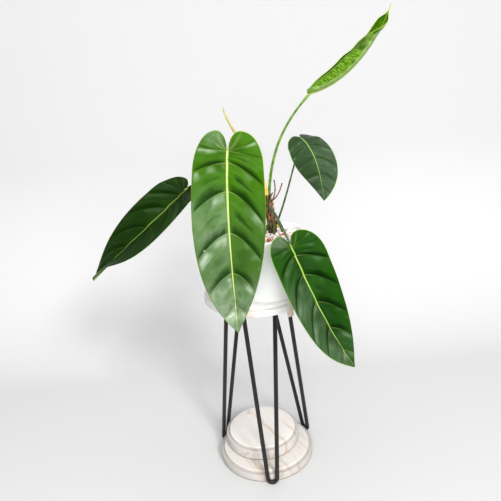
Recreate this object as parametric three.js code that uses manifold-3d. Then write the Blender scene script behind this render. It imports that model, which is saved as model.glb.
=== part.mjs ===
import * as THREE from 'three';
import { mergeVertices } from 'three/addons/utils/BufferGeometryUtils.js';
import Module from 'manifold-3d';

// A philodendron in a white pot on a hairpin-legged plant stand, with a stepped wooden base
// standing between the feet. Millimetres, +Z up, the front towards -Y. The origin is on the
// floor, under the axis of the three legs.

const wasm = await Module();
wasm.setup();

// Round boards with a routed edge: the stand's top and the two discs of the base
const TOP_BOARD = { radius: 121, thick: 20, centre: [4, 8], underside: 410 };
const BASE_LOWER = { radius: 111.5, thick: 24, centre: [-2.5, -1.4], underside: 0 };
const BASE_UPPER = { radius: 88.5, thick: 30, centre: [-10.3, 19], underside: 24 };
const STEP_HEIGHT = 6;
const STEP_INSET = 8;
const BOARD_EDGE = 1.5;
const BOARD_SIDES = 40;

// Hairpin legs: bent rod, welded to a plate under the board
const ROD_RADIUS = 4.75;
const ROD_INTO_PLATE = 1;
const ROD_TOP_REACH = 58;
const FOOT_REACH = 119.8;
const ROD_TOP_SPREAD = 69;
const BEND_RADIUS = 10.5;
const LEG_PLATE = { along: 92, deep: 34, thick: 3 };
const RUN_SHARE = 1 / 12;
const ROD_STEPS = 12;
const LEG_TURNS = { leg_front: -87.5, leg_right: 32.5, leg_left: 152.5 };

// Pot and what fills it
const POT = { centre: [27.7, -23], footRadius: 67, rimRadius: 80.7, height: 134, wall: 4, floor: 6 };
const POT_FOOT_EDGE = 2;
const POT_LIP_EDGE = [1.2, 1.5];
const POT_SIDES = 40;
const FILL_BELOW_RIM = 10;
const FIT_GAP = 0.3;
const CHUNK_COUNT = 64;
const CHUNK_SIZE = [6.5, 9];
const CHUNK_FLATTEN = { across: [0.75, 1], up: [0.6, 0.8] };
const CHUNK_TILT = 0.5;
const CHUNK_RISE = 1;
const CHUNK_SEED = 7;
const RED_CHIPS = [[64, -31, 20], [34, -62, 95], [3, -5, 60], [42, 38, 130]];
const RED_CHIP_SIZE = [6.5, 4.5, 3];
const RED_CHIP_LIFT = 1.5;

// Stem, roots and the tag on the board's edge
const STEM = [[50, 8, 490], [48, 4, 545], [41, -4, 600], [36, -14, 646]];
const STEM_RADIUS = 9;
const STEM_RINGS = 9;
const STEM_RING_HEIGHT = 0.7;
const STEM_NARROWING = { from: 0.75, by: 0.28 };
const STEM_SIDES = 10;
const STEM_STEPS = 18;
const ROOT_RADIUS = 1.5;
const ROOT_SWELL = 1.6;
const ROOT_END = 0.75;
const ROOT_SIDES = 6;
const ROOT_STEPS = 6;
const AIR_ROOTS = [
  [[42, -14, 622], [50, -17, 628], [58, -18, 648], [53, -18, 671]],
  [[42, -15, 626], [55, -20, 630], [64, -21, 646], [69, -22, 664]],
  [[38, -16, 630], [43, -22, 636], [46, -22, 640], [49, -21, 646]],
];
const PROP_ROOTS = [
  [[46, 0, 588], [34, -12, 580], [30, -16, 566], [27, -19, 546]],
  [[48, 4, 582], [60, -10, 578], [64, -13, 564], [66, -15, 546]],
  [[46, 0, 580], [48, -14, 574], [48, -20, 562], [48, -22, 546]],
  [[47, 6, 584], [38, 20, 578], [36, 26, 564], [36, 29, 546]],
];
const STALK_SIDES = 7;
const STALK_STEPS = 13;
const TAG = { wide: 13, tall: 43, thick: 0.8, turn: -58.5, bottom: 399 };

// Leaves. The outline is one half of a blade, from the notch round the lobe to the tip, as
// fractions of the length and of the half width. The side veins end at its points.
const OUTLINE = [
  [0, 0], [-0.07, 0.11], [-0.10, 0.34], [-0.07, 0.69], [0.02, 0.93], [0.17, 1.0],
  [0.39, 1.02], [0.61, 0.91], [0.78, 0.66], [0.91, 0.32], [1, 0],
];
const BLADE_THICK = 1;
const ROWS_PER_VEIN = 3;
const BLADE_COLUMNS = [0, 0.04, 0.3, 0.6, 0.85, 1];
const MIDRIB_DEPTH = [2.2, 0.3];
const JOINT_SWELL = 1.25;
const SOCKET_SWELL = 1.15;
// Side veins set off steeply and then sweep towards the tip. Between two of them the blade
// swells, slowly after the one and falling steeply to the next, almost out to the margin.
const VEIN_SWEEP = 0.6;
const VEIN_CURVE = 1.6;
const SWELL_LATE = 2.2;
const SWELL_WIDE = 0.6;
// The lobes bend back behind the midrib over this much of the length
const LOBE_REACH = [0.12, -0.1];
// Each half of a blade has its width, how far its fullest part lies towards the tip, and
// how much wider it is towards the tip. The first half is the one to the right of the rib.
const LEAVES = {
  leaf_front: {
    rib: [[-31, -189, 759], [-43, -206, 652], [-40, -207, 539], [-40, -199, 424]],
    face: [[-0.1, -0.97, 0.21], [0.32, -0.94, 0.09]],
    halves: [[64.5, -0.03, 0.08], [62.6, 0.02, 0.02]],
    fold: 0, arch: 7.6, quilt: 5.5, lobeBend: 12,
    petiole: [[31, -17, 624], [16, -72, 698], [-8, -140, 742], [-31, -188, 758]],
    petioleRadius: [3.2, 2.4],
  },
  leaf_left: {
    rib: [[-125, -65, 671], [-182, -104, 625], [-254, -96, 572], [-309, -140, 526]],
    face: [[-0.7, -0.63, 0.33], [-0.93, -0.35, 0.07]],
    halves: [[67.8, 0.09, 0.43], [60, 0.11, -0.21]],
    fold: 0.27, arch: 0.9, quilt: 4.5, lobeBend: 5,
    petiole: [[31, -8, 632], [-10, -26, 690], [-78, -46, 700], [-125, -64, 672]],
    petioleRadius: [3, 2.2],
  },
  leaf_right: {
    rib: [[73, -129, 559], [102, -166, 479], [134, -166, 397], [178, -191, 327]],
    face: [[0.27, -0.72, 0.64], [0.53, -0.8, 0.29]],
    halves: [[55.5, 0.02, -0.33], [57.7, 0.04, 0.05]],
    fold: 0.24, arch: -0.8, quilt: 5, lobeBend: 5,
    petiole: [[40, -12, 614], [49, -42, 611], [60, -90, 594], [73, -128, 559.5]],
    petioleRadius: [3, 2],
  },
  leaf_small: {
    rib: [[115, 17, 748], [139, -12, 728], [152, -9, 674], [156, -9, 617]],
    face: [[0.44, -0.79, 0.42], [-0.43, -0.9, 0.09]],
    halves: [[42.7, 0.04, 0], [41.5, -0.13, 0.31]],
    fold: -0.13, arch: 4.9, quilt: 2.2, lobeBend: 3,
    petiole: [[47, 2, 562], [62, 4, 578], [92, 14, 668], [115, 18, 747]],
    petioleRadius: [2.6, 1.6],
  },
};
const ROLLED_LEAF = {
  rib: [[133, 20, 834], [194, 14, 840], [265, 16, 896], [301, 20, 989]],
  petiole: [[41, -10, 634], [49, -12, 715], [69, 8, 770], [139, 20, 835]],
  petioleRadius: [3.2, 2.2],
  // At equal steps along the rib: the roll's radius, and how far round it each half goes
  rollRadius: [4.5, 8.5, 11, 12, 12.5, 12.5, 11, 8.5, 8.5, 8.5, 7],
  rollTurn: [2.2, 2.7, 2.9, 2.9, 2.9, 2.9, 2.8, 2.4, 1.8, 1.4, 1],
  spiral: 0.09, drip: [0.87, 0.965], dripRadius: 0.6, quilt: 1.2, rows: 24, halfColumns: 7,
  // The open side turns from above to the front over this part of the length, in radians
  opening: [0.72, 0.92], openTurn: [0.25, -1.2], openTilt: 0.7,
};
const SPEAR = [[35, -19, 641], [32, -20, 715], [-30, -28, 770], [-38, -38, 823]];
const SPEAR_RADIUS = 3.4;
const SPEAR_SHEATH = 1.8;
const SPEAR_SHEATH_REACH = 0.3;
const SPEAR_POINT = 0.86;
const SIDE_BUD = { centre: [57, -6, 571], size: [3.6, 3.2, 6] };

// Closed meshes as solids

function signedVolume(position, triangles) {
  const [a, b, c] = [new THREE.Vector3(), new THREE.Vector3(), new THREE.Vector3()];
  let volume = 0;
  for (let i = 0; i < triangles.length; i += 3) {
    a.fromArray(position, 3 * triangles[i]);
    b.fromArray(position, 3 * triangles[i + 1]);
    c.fromArray(position, 3 * triangles[i + 2]);
    volume += a.dot(b.cross(c)) / 6;
  }
  return volume;
}

function solidOf(geometry) {
  const bare = geometry.clone();
  bare.deleteAttribute('normal');
  bare.deleteAttribute('uv');
  const merged = mergeVertices(bare, 1e-4);
  const position = merged.attributes.position.array;
  const index = merged.index.array;
  const triangles = [];
  for (let i = 0; i < index.length; i += 3) {
    const [a, b, c] = [index[i], index[i + 1], index[i + 2]];
    if (a !== b && b !== c && c !== a) triangles.push(a, b, c);
  }
  if (signedVolume(position, triangles) < 0) triangles.reverse();
  return new wasm.Manifold(new wasm.Mesh({
    numProp: 3,
    vertProperties: Float32Array.from(position),
    triVerts: Uint32Array.from(triangles),
  }));
}

function geometryOf(solid) {
  const mesh = solid.getMesh();
  const geometry = new THREE.BufferGeometry();
  geometry.setAttribute('position', new THREE.BufferAttribute(Float32Array.from(mesh.vertProperties), 3));
  geometry.setIndex(new THREE.BufferAttribute(Uint32Array.from(mesh.triVerts), 1));
  geometry.computeVertexNormals();
  return geometry;
}

function joined(solids) {
  return solids.reduce((sum, solid) => sum.add(solid));
}

function geometryFromTriangles(corners) {
  const geometry = new THREE.BufferGeometry();
  const values = corners.flatMap((p) => [p.x, p.y, p.z]);
  geometry.setAttribute('position', new THREE.Float32BufferAttribute(values, 3));
  return geometry;
}

// Shared shapes

function vector(values) {
  return new THREE.Vector3(...values);
}

function bezier(points) {
  return new THREE.CubicBezierCurve3(...points.map(vector));
}

function turned(profile, sides) {
  const points = profile.map(([radius, height]) => new THREE.Vector2(radius, height));
  return new THREE.LatheGeometry(points, sides).rotateX(Math.PI / 2);
}

function taperedTube(curve, radiusAt, sides, steps) {
  const frames = curve.computeFrenetFrames(steps, false);
  const ringPoint = (i, k) => {
    const angle = 2 * Math.PI * (k % sides) / sides;
    const radius = radiusAt(i / steps);
    return curve.getPointAt(i / steps)
      .addScaledVector(frames.normals[i], radius * Math.cos(angle))
      .addScaledVector(frames.binormals[i], radius * Math.sin(angle));
  };
  const start = curve.getPointAt(0);
  const end = curve.getPointAt(1);
  const corners = [];
  for (let k = 0; k < sides; k++) {
    for (let i = 0; i < steps; i++) {
      const [a, b] = [ringPoint(i, k), ringPoint(i, k + 1)];
      const [c, d] = [ringPoint(i + 1, k), ringPoint(i + 1, k + 1)];
      corners.push(a, b, d, a, d, c);
    }
    corners.push(start, ringPoint(0, k + 1), ringPoint(0, k));
    corners.push(end, ringPoint(steps, k), ringPoint(steps, k + 1));
  }
  return geometryFromTriangles(corners);
}

function taper([from, to]) {
  return (t) => from + (to - from) * t;
}

function ball(centre, radius) {
  return new THREE.IcosahedronGeometry(radius, 1).translate(...centre);
}

// A seeded draw, so that every build gives the same chunks
function seededDraw(seed) {
  let state = seed;
  return () => {
    state = (state * 1664525 + 1013904223) % 4294967296;
    return state / 4294967296;
  };
}

// Boards

function boardSolid({ radius, thick, centre, underside }) {
  const stepBase = thick - STEP_HEIGHT;
  const raised = radius - STEP_INSET;
  const profile = [
    [0, 0], [radius, 0], [radius, stepBase - BOARD_EDGE], [radius - BOARD_EDGE, stepBase],
    [raised, stepBase + BOARD_EDGE / 2], [raised, thick - BOARD_EDGE], [raised - BOARD_EDGE, thick],
    [0, thick],
  ];
  return solidOf(turned(profile, BOARD_SIDES).translate(centre[0], centre[1], underside));
}

// Legs

class HairpinCurve extends THREE.Curve {
  // Two straight runs and the bend between them, in the leg's own plane: x across the leg,
  // y down it. Steps are shared out by run and not by length, so that the bend gets most.
  constructor(halfSpread, length, bendRadius, runShare) {
    super();
    const bendCentre = length - bendRadius;
    const away = Math.atan2(halfSpread, bendCentre);
    const lean = Math.asin(bendRadius / Math.hypot(halfSpread, bendCentre));
    Object.assign(this, { halfSpread, bendCentre, bendRadius, runShare });
    this.bendStart = away - lean;
  }

  getPoint(t, target = new THREE.Vector3()) {
    const onRun = Math.min(t, 1 - t) / this.runShare;
    const side = t < 0.5 ? 1 : -1;
    const sweep = Math.PI / 2 - this.bendStart;
    const share = onRun < 1 ? 1 : (0.5 - Math.min(t, 1 - t)) / (0.5 - this.runShare);
    const angle = this.bendStart + sweep * (1 - share);
    const bendX = this.bendRadius * Math.cos(angle);
    const bendY = this.bendCentre + this.bendRadius * Math.sin(angle);
    if (onRun >= 1) return target.set(side * bendX, 0, -bendY);
    const x = this.halfSpread + (bendX - this.halfSpread) * onRun;
    return target.set(side * x, 0, -bendY * onRun);
  }

  getUtoTmapping(u) {
    return u;
  }
}

function legSolid(turnDegrees) {
  const plateUnderside = TOP_BOARD.underside - LEG_PLATE.thick;
  const drop = plateUnderside + ROD_INTO_PLATE - ROD_RADIUS;
  const length = Math.hypot(drop, FOOT_REACH - ROD_TOP_REACH);
  const lean = Math.atan2(FOOT_REACH - ROD_TOP_REACH, drop);
  const curve = new HairpinCurve(ROD_TOP_SPREAD / 2, length, BEND_RADIUS, RUN_SHARE);
  const section = new THREE.Shape().absarc(0, 0, ROD_RADIUS, 0, 2 * Math.PI, false);
  const along = { steps: ROD_STEPS, curveSegments: 4, extrudePath: curve };
  const rod = new THREE.ExtrudeGeometry(section, along);
  rod.rotateX(-lean);
  rod.translate(0, -ROD_TOP_REACH, plateUnderside + ROD_INTO_PLATE);
  const plate = new THREE.BoxGeometry(LEG_PLATE.along, LEG_PLATE.deep, LEG_PLATE.thick);
  plate.translate(0, -ROD_TOP_REACH, TOP_BOARD.underside - LEG_PLATE.thick / 2);
  const turn = THREE.MathUtils.degToRad(turnDegrees + 90);
  return solidOf(rod.rotateZ(turn)).add(solidOf(plate.rotateZ(turn)));
}

// Pot and filling

const POT_UNDERSIDE = TOP_BOARD.underside + TOP_BOARD.thick;
const RIM_HEIGHT = POT_UNDERSIDE + POT.height;
const FILL_HEIGHT = RIM_HEIGHT - FILL_BELOW_RIM;

function potRadiusAt(height) {
  const share = (height - POT_UNDERSIDE) / POT.height;
  return POT.footRadius + (POT.rimRadius - POT.footRadius) * share;
}

function potSolid() {
  const rim = POT.rimRadius;
  const [lipIn, lipDown] = POT_LIP_EDGE;
  const inside = POT_UNDERSIDE + POT.floor;
  const profile = [
    [0, POT_UNDERSIDE],
    [POT.footRadius - POT_FOOT_EDGE, POT_UNDERSIDE],
    [POT.footRadius, POT_UNDERSIDE + POT_FOOT_EDGE],
    [rim, RIM_HEIGHT - lipDown],
    [rim - lipIn, RIM_HEIGHT],
    [rim - POT.wall + lipIn, RIM_HEIGHT],
    [rim - POT.wall, RIM_HEIGHT - lipDown],
    [potRadiusAt(inside) - POT.wall, inside],
    [0, inside],
  ];
  return solidOf(turned(profile, POT_SIDES).translate(...POT.centre, 0));
}

function insideOfPot(top) {
  const inside = POT_UNDERSIDE + POT.floor;
  const room = POT.wall + FIT_GAP;
  const profile = [
    [0, inside],
    [potRadiusAt(inside) - room, inside],
    [potRadiusAt(top) - room, top],
    [0, top],
  ];
  return solidOf(turned(profile, POT_SIDES).translate(...POT.centre, 0));
}

function chunkSolids() {
  const draw = seededDraw(CHUNK_SEED);
  const between = ([low, high]) => low + (high - low) * draw();
  const reach = potRadiusAt(FILL_HEIGHT) - POT.wall - CHUNK_SIZE[0] / 2;
  const goldenAngle = Math.PI * (3 - Math.sqrt(5));
  const chunks = [];
  for (let i = 0; i < CHUNK_COUNT; i++) {
    const chunk = new THREE.IcosahedronGeometry(between(CHUNK_SIZE), 0);
    chunk.scale(1, between(CHUNK_FLATTEN.across), between(CHUNK_FLATTEN.up));
    chunk.rotateX(CHUNK_TILT * draw());
    chunk.rotateZ(2 * Math.PI * draw());
    const radius = reach * Math.sqrt((i + 0.5) / CHUNK_COUNT);
    const angle = i * goldenAngle;
    chunk.translate(
      POT.centre[0] + radius * Math.cos(angle),
      POT.centre[1] + radius * Math.sin(angle),
      FILL_HEIGHT + between([-CHUNK_RISE, CHUNK_RISE]),
    );
    chunks.push(solidOf(chunk));
  }
  return chunks;
}

function redChipGeometry([x, y, turn], room) {
  const [long, wide, high] = RED_CHIP_SIZE.map((half) => half + room);
  return new THREE.IcosahedronGeometry(1, 0).scale(long, wide, high)
    .rotateZ(THREE.MathUtils.degToRad(turn)).translate(x, y, FILL_HEIGHT + RED_CHIP_LIFT);
}

function substrateSolid() {
  const filling = joined([insideOfPot(FILL_HEIGHT), ...chunkSolids()]);
  const trimmed = filling.intersect(insideOfPot(RIM_HEIGHT - 1));
  const chipBeds = joined(RED_CHIPS.map((chip) => solidOf(redChipGeometry(chip, FIT_GAP))));
  return trimmed.subtract(chipBeds).subtract(trunkSolid(FIT_GAP));
}

// Stem and roots

function stemRadiusAt(t) {
  const ring = Math.abs(Math.sin(t * STEM_RINGS * Math.PI));
  const { from, by } = STEM_NARROWING;
  return STEM_RADIUS * (1 - by * Math.max(0, t - from) / (1 - from)) + STEM_RING_HEIGHT * ring;
}

function trunkSolid(room) {
  const trunk = taperedTube(bezier(STEM), (t) => stemRadiusAt(t) + room, STEM_SIDES, STEM_STEPS);
  const props = PROP_ROOTS.map((points) => {
    const radii = [ROOT_RADIUS * ROOT_SWELL + room, ROOT_RADIUS + room];
    return solidOf(taperedTube(bezier(points), taper(radii), ROOT_SIDES, ROOT_STEPS));
  });
  return joined([solidOf(trunk), ...props]);
}

function stemSolid() {
  const airRoots = AIR_ROOTS.map((points) => {
    const radii = [ROOT_RADIUS, ROOT_RADIUS * ROOT_END];
    return solidOf(taperedTube(bezier(points), taper(radii), ROOT_SIDES, ROOT_STEPS));
  });
  const leaves = [...Object.values(LEAVES), ROLLED_LEAF];
  const stalks = leaves.map((leaf) => [leaf.petiole, leaf.petioleRadius[0]]);
  const sockets = [...stalks, [SPEAR, SPEAR_RADIUS + SPEAR_SHEATH]].map(([points, radius]) => {
    const widened = taperedTube(bezier(points), () => radius + FIT_GAP, STALK_SIDES, STALK_STEPS);
    return solidOf(widened).add(solidOf(ball(points[0], SOCKET_SWELL * radius + FIT_GAP)));
  });
  sockets.push(solidOf(budGeometry(FIT_GAP)));
  return joined([trunkSolid(0), ...airRoots]).subtract(joined(sockets));
}

// Flat leaves

const outlineCurve = new THREE.SplineCurve(OUTLINE.map((point) => new THREE.Vector2(...point)));

// Where a side vein leaves the midrib, for a margin point this far along the blade
function veinRoot(along) {
  return along <= 0 ? 0 : along * (1 - VEIN_SWEEP * (1 - along));
}

// The swelling between two side veins, from 0 at them to 1
function swelling(outlineShare, across) {
  const betweenVeins = (outlineShare * (OUTLINE.length - 1)) % 1;
  const fade = Math.sin(Math.PI * across ** 0.8);
  return Math.sin(Math.PI * betweenVeins ** SWELL_LATE) * Math.max(0, fade) ** SWELL_WIDE;
}

// A point of the margin: how far along the blade it is, and how far out in millimetres
function marginPoint([halfWidth, shift, flare], outlineShare) {
  const { x, y } = outlineCurve.getPoint(outlineShare);
  const along = THREE.MathUtils.clamp(x, 0, 1);
  return [x + 4 * shift * along * (1 - along), y * halfWidth * (1 + flare * (x - 0.4))];
}

function bladePoint(leaf, row, column, lift) {
  const outlineShare = row / (ROWS_PER_VEIN * (OUTLINE.length - 1));
  const across = BLADE_COLUMNS[Math.abs(column)];
  const [marginAlong, marginOut] = marginPoint(leaf.halves[column < 0 ? 1 : 0], outlineShare);
  const root = veinRoot(marginAlong);
  const along = root + (marginAlong - root) * across ** VEIN_CURVE;
  const out = marginOut * across;
  const t = THREE.MathUtils.clamp(along, 0, 1);
  const rib = bezier(leaf.rib);
  const point = rib.getPoint(t);
  point.addScaledVector(vector(leaf.rib[1]).sub(vector(leaf.rib[0])), 3 * Math.min(along, 0));
  const { face, sideways } = ribFrame(rib, leaf.face, t);
  const ridge = lift < 0 && column === 0 ? taper(MIDRIB_DEPTH)(t) : 0;
  const outShare = out / leaf.halves[0][0];
  const bentBack = 1 - THREE.MathUtils.smoothstep(along, LOBE_REACH[1], LOBE_REACH[0]);
  const height = leaf.fold * out - leaf.arch * outShare ** 2 - leaf.lobeBend * bentBack * outShare
    + leaf.quilt * swelling(outlineShare, across) - ridge;
  return point.addScaledVector(sideways, Math.sign(column) * out)
    .addScaledVector(face, height + lift);
}

function ribFrame(rib, [faceAtBase, faceAtTip], t) {
  const tangent = rib.getTangent(t);
  const face = vector(faceAtBase).lerp(vector(faceAtTip), t);
  face.addScaledVector(tangent, -face.dot(tangent)).normalize();
  return { face, sideways: new THREE.Vector3().crossVectors(face, tangent) };
}

// A thin sheet over a grid of rows and of columns to both sides of a middle one. Corners
// that fall together close it to a point.
function sheetSolid(rows, halfColumns, pointAt) {
  const [upper, lower] = [BLADE_THICK / 2, -BLADE_THICK / 2].map((lift) => {
    const grid = [];
    for (let i = 0; i <= rows; i++) {
      grid.push([]);
      for (let j = -halfColumns; j <= halfColumns; j++) grid[i].push(pointAt(i, j, lift));
    }
    return grid;
  });
  const corners = [];
  const addQuad = (a, b, c, d) => corners.push(a, b, c, a, c, d);
  const last = 2 * halfColumns;
  for (let i = 0; i < rows; i++) {
    for (let j = 0; j < last; j++) {
      addQuad(upper[i][j], upper[i + 1][j], upper[i + 1][j + 1], upper[i][j + 1]);
      addQuad(lower[i][j], lower[i][j + 1], lower[i + 1][j + 1], lower[i + 1][j]);
    }
    addQuad(upper[i + 1][0], upper[i][0], lower[i][0], lower[i + 1][0]);
    addQuad(upper[i][last], upper[i + 1][last], lower[i + 1][last], lower[i][last]);
  }
  for (let j = 0; j < last; j++) {
    addQuad(upper[0][j], upper[0][j + 1], lower[0][j + 1], lower[0][j]);
    addQuad(upper[rows][j + 1], upper[rows][j], lower[rows][j], lower[rows][j + 1]);
  }
  return solidOf(geometryFromTriangles(corners));
}

function stalkSolid({ petiole, petioleRadius }) {
  const stalk = solidOf(taperedTube(bezier(petiole), taper(petioleRadius), STALK_SIDES, STALK_STEPS));
  return stalk.add(solidOf(ball(petiole[3], petioleRadius[1] * JOINT_SWELL)));
}

function leafSolid(leaf) {
  const rows = ROWS_PER_VEIN * (OUTLINE.length - 1);
  const blade = sheetSolid(rows, BLADE_COLUMNS.length - 1, (...at) => bladePoint(leaf, ...at));
  return blade.add(stalkSolid(leaf));
}

// The young leaf, still rolled round its own length, its tip turned open

function valueAlong(values, t) {
  return new THREE.SplineCurve(values.map((value, i) => new THREE.Vector2(i, value))).getPoint(t).y;
}

// Which way the roll's open side looks: up and to the left at first, to the front at the tip
function openDirection(t) {
  const { opening, openTurn, openTilt } = ROLLED_LEAF;
  const share = THREE.MathUtils.smoothstep(t, ...opening);
  const turn = THREE.MathUtils.lerp(...openTurn, share);
  return [-openTilt * Math.cos(turn), Math.sin(turn), openTilt * Math.cos(turn)];
}

function rolledPoint(row, column, lift) {
  const { rows, halfColumns, drip, dripRadius, spiral, quilt } = ROLLED_LEAF;
  const t = row / rows;
  const across = column / halfColumns;
  const rib = bezier(ROLLED_LEAF.rib);
  const direction = openDirection(t);
  const { face, sideways } = ribFrame(rib, [direction, direction], t);
  const closing = THREE.MathUtils.smoothstep(t, ...drip);
  const roll = valueAlong(ROLLED_LEAF.rollRadius, t) * (1 - closing);
  const radius = (dripRadius + roll) * (1 + spiral * across);
  const angle = across * valueAlong(ROLLED_LEAF.rollTurn, t);
  const fromRib = Math.abs(across);
  const fold = Math.sin(Math.PI * ((rows * t / 2 + fromRib) % 1));
  const crinkle = quilt * (1 - closing) * fold * Math.sin(Math.PI * fromRib);
  const ridge = lift < 0 && column === 0 ? taper(MIDRIB_DEPTH)(t) : 0;
  const reach = radius + crinkle + ridge - lift;
  return rib.getPoint(t)
    .addScaledVector(face, radius - reach * Math.cos(angle))
    .addScaledVector(sideways, reach * Math.sin(angle));
}

function rolledLeafSolid() {
  const { rows, halfColumns } = ROLLED_LEAF;
  return sheetSolid(rows, halfColumns, rolledPoint).add(stalkSolid(ROLLED_LEAF));
}

// Spear of the next leaf, and the tag

function spearSolid() {
  const radiusAt = (t) => SPEAR_RADIUS * (1 - SPEAR_POINT * t ** 4)
    + SPEAR_SHEATH * (1 - THREE.MathUtils.smoothstep(t, 0, SPEAR_SHEATH_REACH));
  return solidOf(taperedTube(bezier(SPEAR), radiusAt, STALK_SIDES, STALK_STEPS));
}

function budGeometry(room) {
  const [x, y, z] = SIDE_BUD.size.map((half) => half + room);
  return new THREE.IcosahedronGeometry(1, 1).scale(x, y, z).translate(...SIDE_BUD.centre);
}

function tagSolid() {
  const tag = new THREE.BoxGeometry(TAG.thick, TAG.wide, TAG.tall);
  const flatOfEdge = TOP_BOARD.radius * Math.cos(Math.PI / BOARD_SIDES);
  tag.translate(flatOfEdge + FIT_GAP + TAG.thick / 2, 0, TAG.bottom + TAG.tall / 2);
  tag.rotateZ(THREE.MathUtils.degToRad(TAG.turn));
  return solidOf(tag.translate(...TOP_BOARD.centre, 0));
}

// The assembly

const WHITEWASHED = { color: 0xe4ddd2, roughness: 0.75, metalness: 0 };
const BLACK_STEEL = { color: 0x111111, roughness: 0.45, metalness: 0.6 };
const GLAZE = { color: 0xf1f1ef, roughness: 0.2, metalness: 0 };
const PUMICE = { color: 0xd9cdc6, roughness: 0.95, metalness: 0 };
const RED_STONE = { color: 0xa5472f, roughness: 0.9, metalness: 0 };
const BARK = { color: 0x6b4228, roughness: 0.9, metalness: 0 };
const LEAF_GREEN = { color: 0x2f6b26, roughness: 0.35, metalness: 0 };
const YOUNG_GREEN = { color: 0x5f9a22, roughness: 0.35, metalness: 0 };
const SPEAR_YELLOW = { color: 0xb9a63a, roughness: 0.5, metalness: 0 };
const CARD = { color: 0xcdbfae, roughness: 0.85, metalness: 0 };

const plant = new THREE.Group();

function place(name, solid, finish) {
  const mesh = new THREE.Mesh(geometryOf(solid), new THREE.MeshStandardMaterial(finish));
  mesh.name = name;
  plant.add(mesh);
}

place('stand_top', boardSolid(TOP_BOARD), WHITEWASHED);
place('base_lower', boardSolid(BASE_LOWER), WHITEWASHED);
place('base_upper', boardSolid(BASE_UPPER), WHITEWASHED);
for (const [name, turn] of Object.entries(LEG_TURNS)) place(name, legSolid(turn), BLACK_STEEL);
place('pot', potSolid(), GLAZE);
place('substrate', substrateSolid(), PUMICE);
RED_CHIPS.forEach((chip, i) => place(`red_chip_${i + 1}`, solidOf(redChipGeometry(chip, 0)), RED_STONE));
place('stem', stemSolid(), BARK);
for (const [name, leaf] of Object.entries(LEAVES)) place(name, leafSolid(leaf), LEAF_GREEN);
place('leaf_rolled', rolledLeafSolid(), YOUNG_GREEN);
place('spear', spearSolid(), SPEAR_YELLOW);
place('side_bud', solidOf(budGeometry(0)), YOUNG_GREEN);
place('edge_tag', tagSolid(), CARD);

export default plant;
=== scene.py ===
import math

import bmesh
import bpy
import numpy as np
from mathutils import Matrix, Vector


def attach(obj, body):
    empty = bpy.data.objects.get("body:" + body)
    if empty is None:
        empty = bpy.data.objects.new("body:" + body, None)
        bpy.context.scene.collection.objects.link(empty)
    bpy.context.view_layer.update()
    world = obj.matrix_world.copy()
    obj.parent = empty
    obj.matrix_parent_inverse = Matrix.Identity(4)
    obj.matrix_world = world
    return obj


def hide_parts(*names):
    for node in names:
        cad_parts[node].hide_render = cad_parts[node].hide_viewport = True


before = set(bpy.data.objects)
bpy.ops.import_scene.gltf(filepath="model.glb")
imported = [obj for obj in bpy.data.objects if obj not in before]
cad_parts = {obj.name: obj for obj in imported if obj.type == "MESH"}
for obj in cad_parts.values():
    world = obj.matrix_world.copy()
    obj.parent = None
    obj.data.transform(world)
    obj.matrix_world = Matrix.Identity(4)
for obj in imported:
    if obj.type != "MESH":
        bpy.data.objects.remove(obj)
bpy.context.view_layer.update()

# Camera. It stands about a metre in front of the stand, at the height of the upper leaves,
# looks down on the pot and leans a few degrees to one side.
MM = 0.001
CAMERA_PLACE = (-2.5, -1073.4, 867.0)
CAMERA_TURNS = {"pitch": 18.03, "yaw": -0.17, "roll": -4.38}
CAMERA_LENS = 37.387
SENSOR_WIDTH = 36

camera_data = bpy.data.cameras.new("camera")
camera_data.sensor_width = SENSOR_WIDTH
camera_data.lens = CAMERA_LENS
camera = bpy.data.objects.new("camera", camera_data)
bpy.context.collection.objects.link(camera)
bpy.context.scene.camera = camera
camera_turn = (
    Matrix.Rotation(math.radians(-CAMERA_TURNS["yaw"]), 4, "Z")
    @ Matrix.Rotation(math.radians(90 - CAMERA_TURNS["pitch"]), 4, "X")
    @ Matrix.Rotation(math.radians(CAMERA_TURNS["roll"]), 4, "Z")
)
camera.matrix_world = Matrix.Translation([MM * v for v in CAMERA_PLACE]) @ camera_turn

# Studio. Pale paper sweeps up behind the stand. The room in front is dim, brighter overhead and
# at a panel on the left. A soft lamp hangs high on the right, and a window stands behind the
# camera. Sizes here and in node trees are in metres, and all others in millimetres.
SWEEP_START = 0.34
SWEEP_RADIUS = 0.60
SWEEP_TOP = 3.2
PAPER_HALF_WIDTH = 5.0
PAPER_FRONT = -5.0
PAPER_LIT_FRONT = (-0.55, -0.25)
PAPER_LIT_LEFT = (-1.1, -0.7)
PAPER_LIT_RIGHT = (1.5, 0.9)
PAPER_DIM = (0.25, 0.25, 0.25)
PAPER_PALE = (0.50, 0.50, 0.50)
ROOM_FRONT = 0.18
ROOM_BEHIND = 0.25
SKY_SEEN = 0.85
ROOM_ABOVE = 1.0
PANEL_DIRECTION = (-0.80, -0.58, 0.05)
PANEL_GLOW = 0.4
KEY_DIRECTION = (0.45, -0.80, 0.56)
KEY_STRENGTH = 1.8
KEY_SOFTNESS = 12
WINDOW_PLACE = (0.4, -3.0, 1.85)
WINDOW_SIZE = (2.4, 1.8)
WINDOW_POWER = 166

bpy.context.scene.view_settings.view_transform = "Standard"


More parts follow.
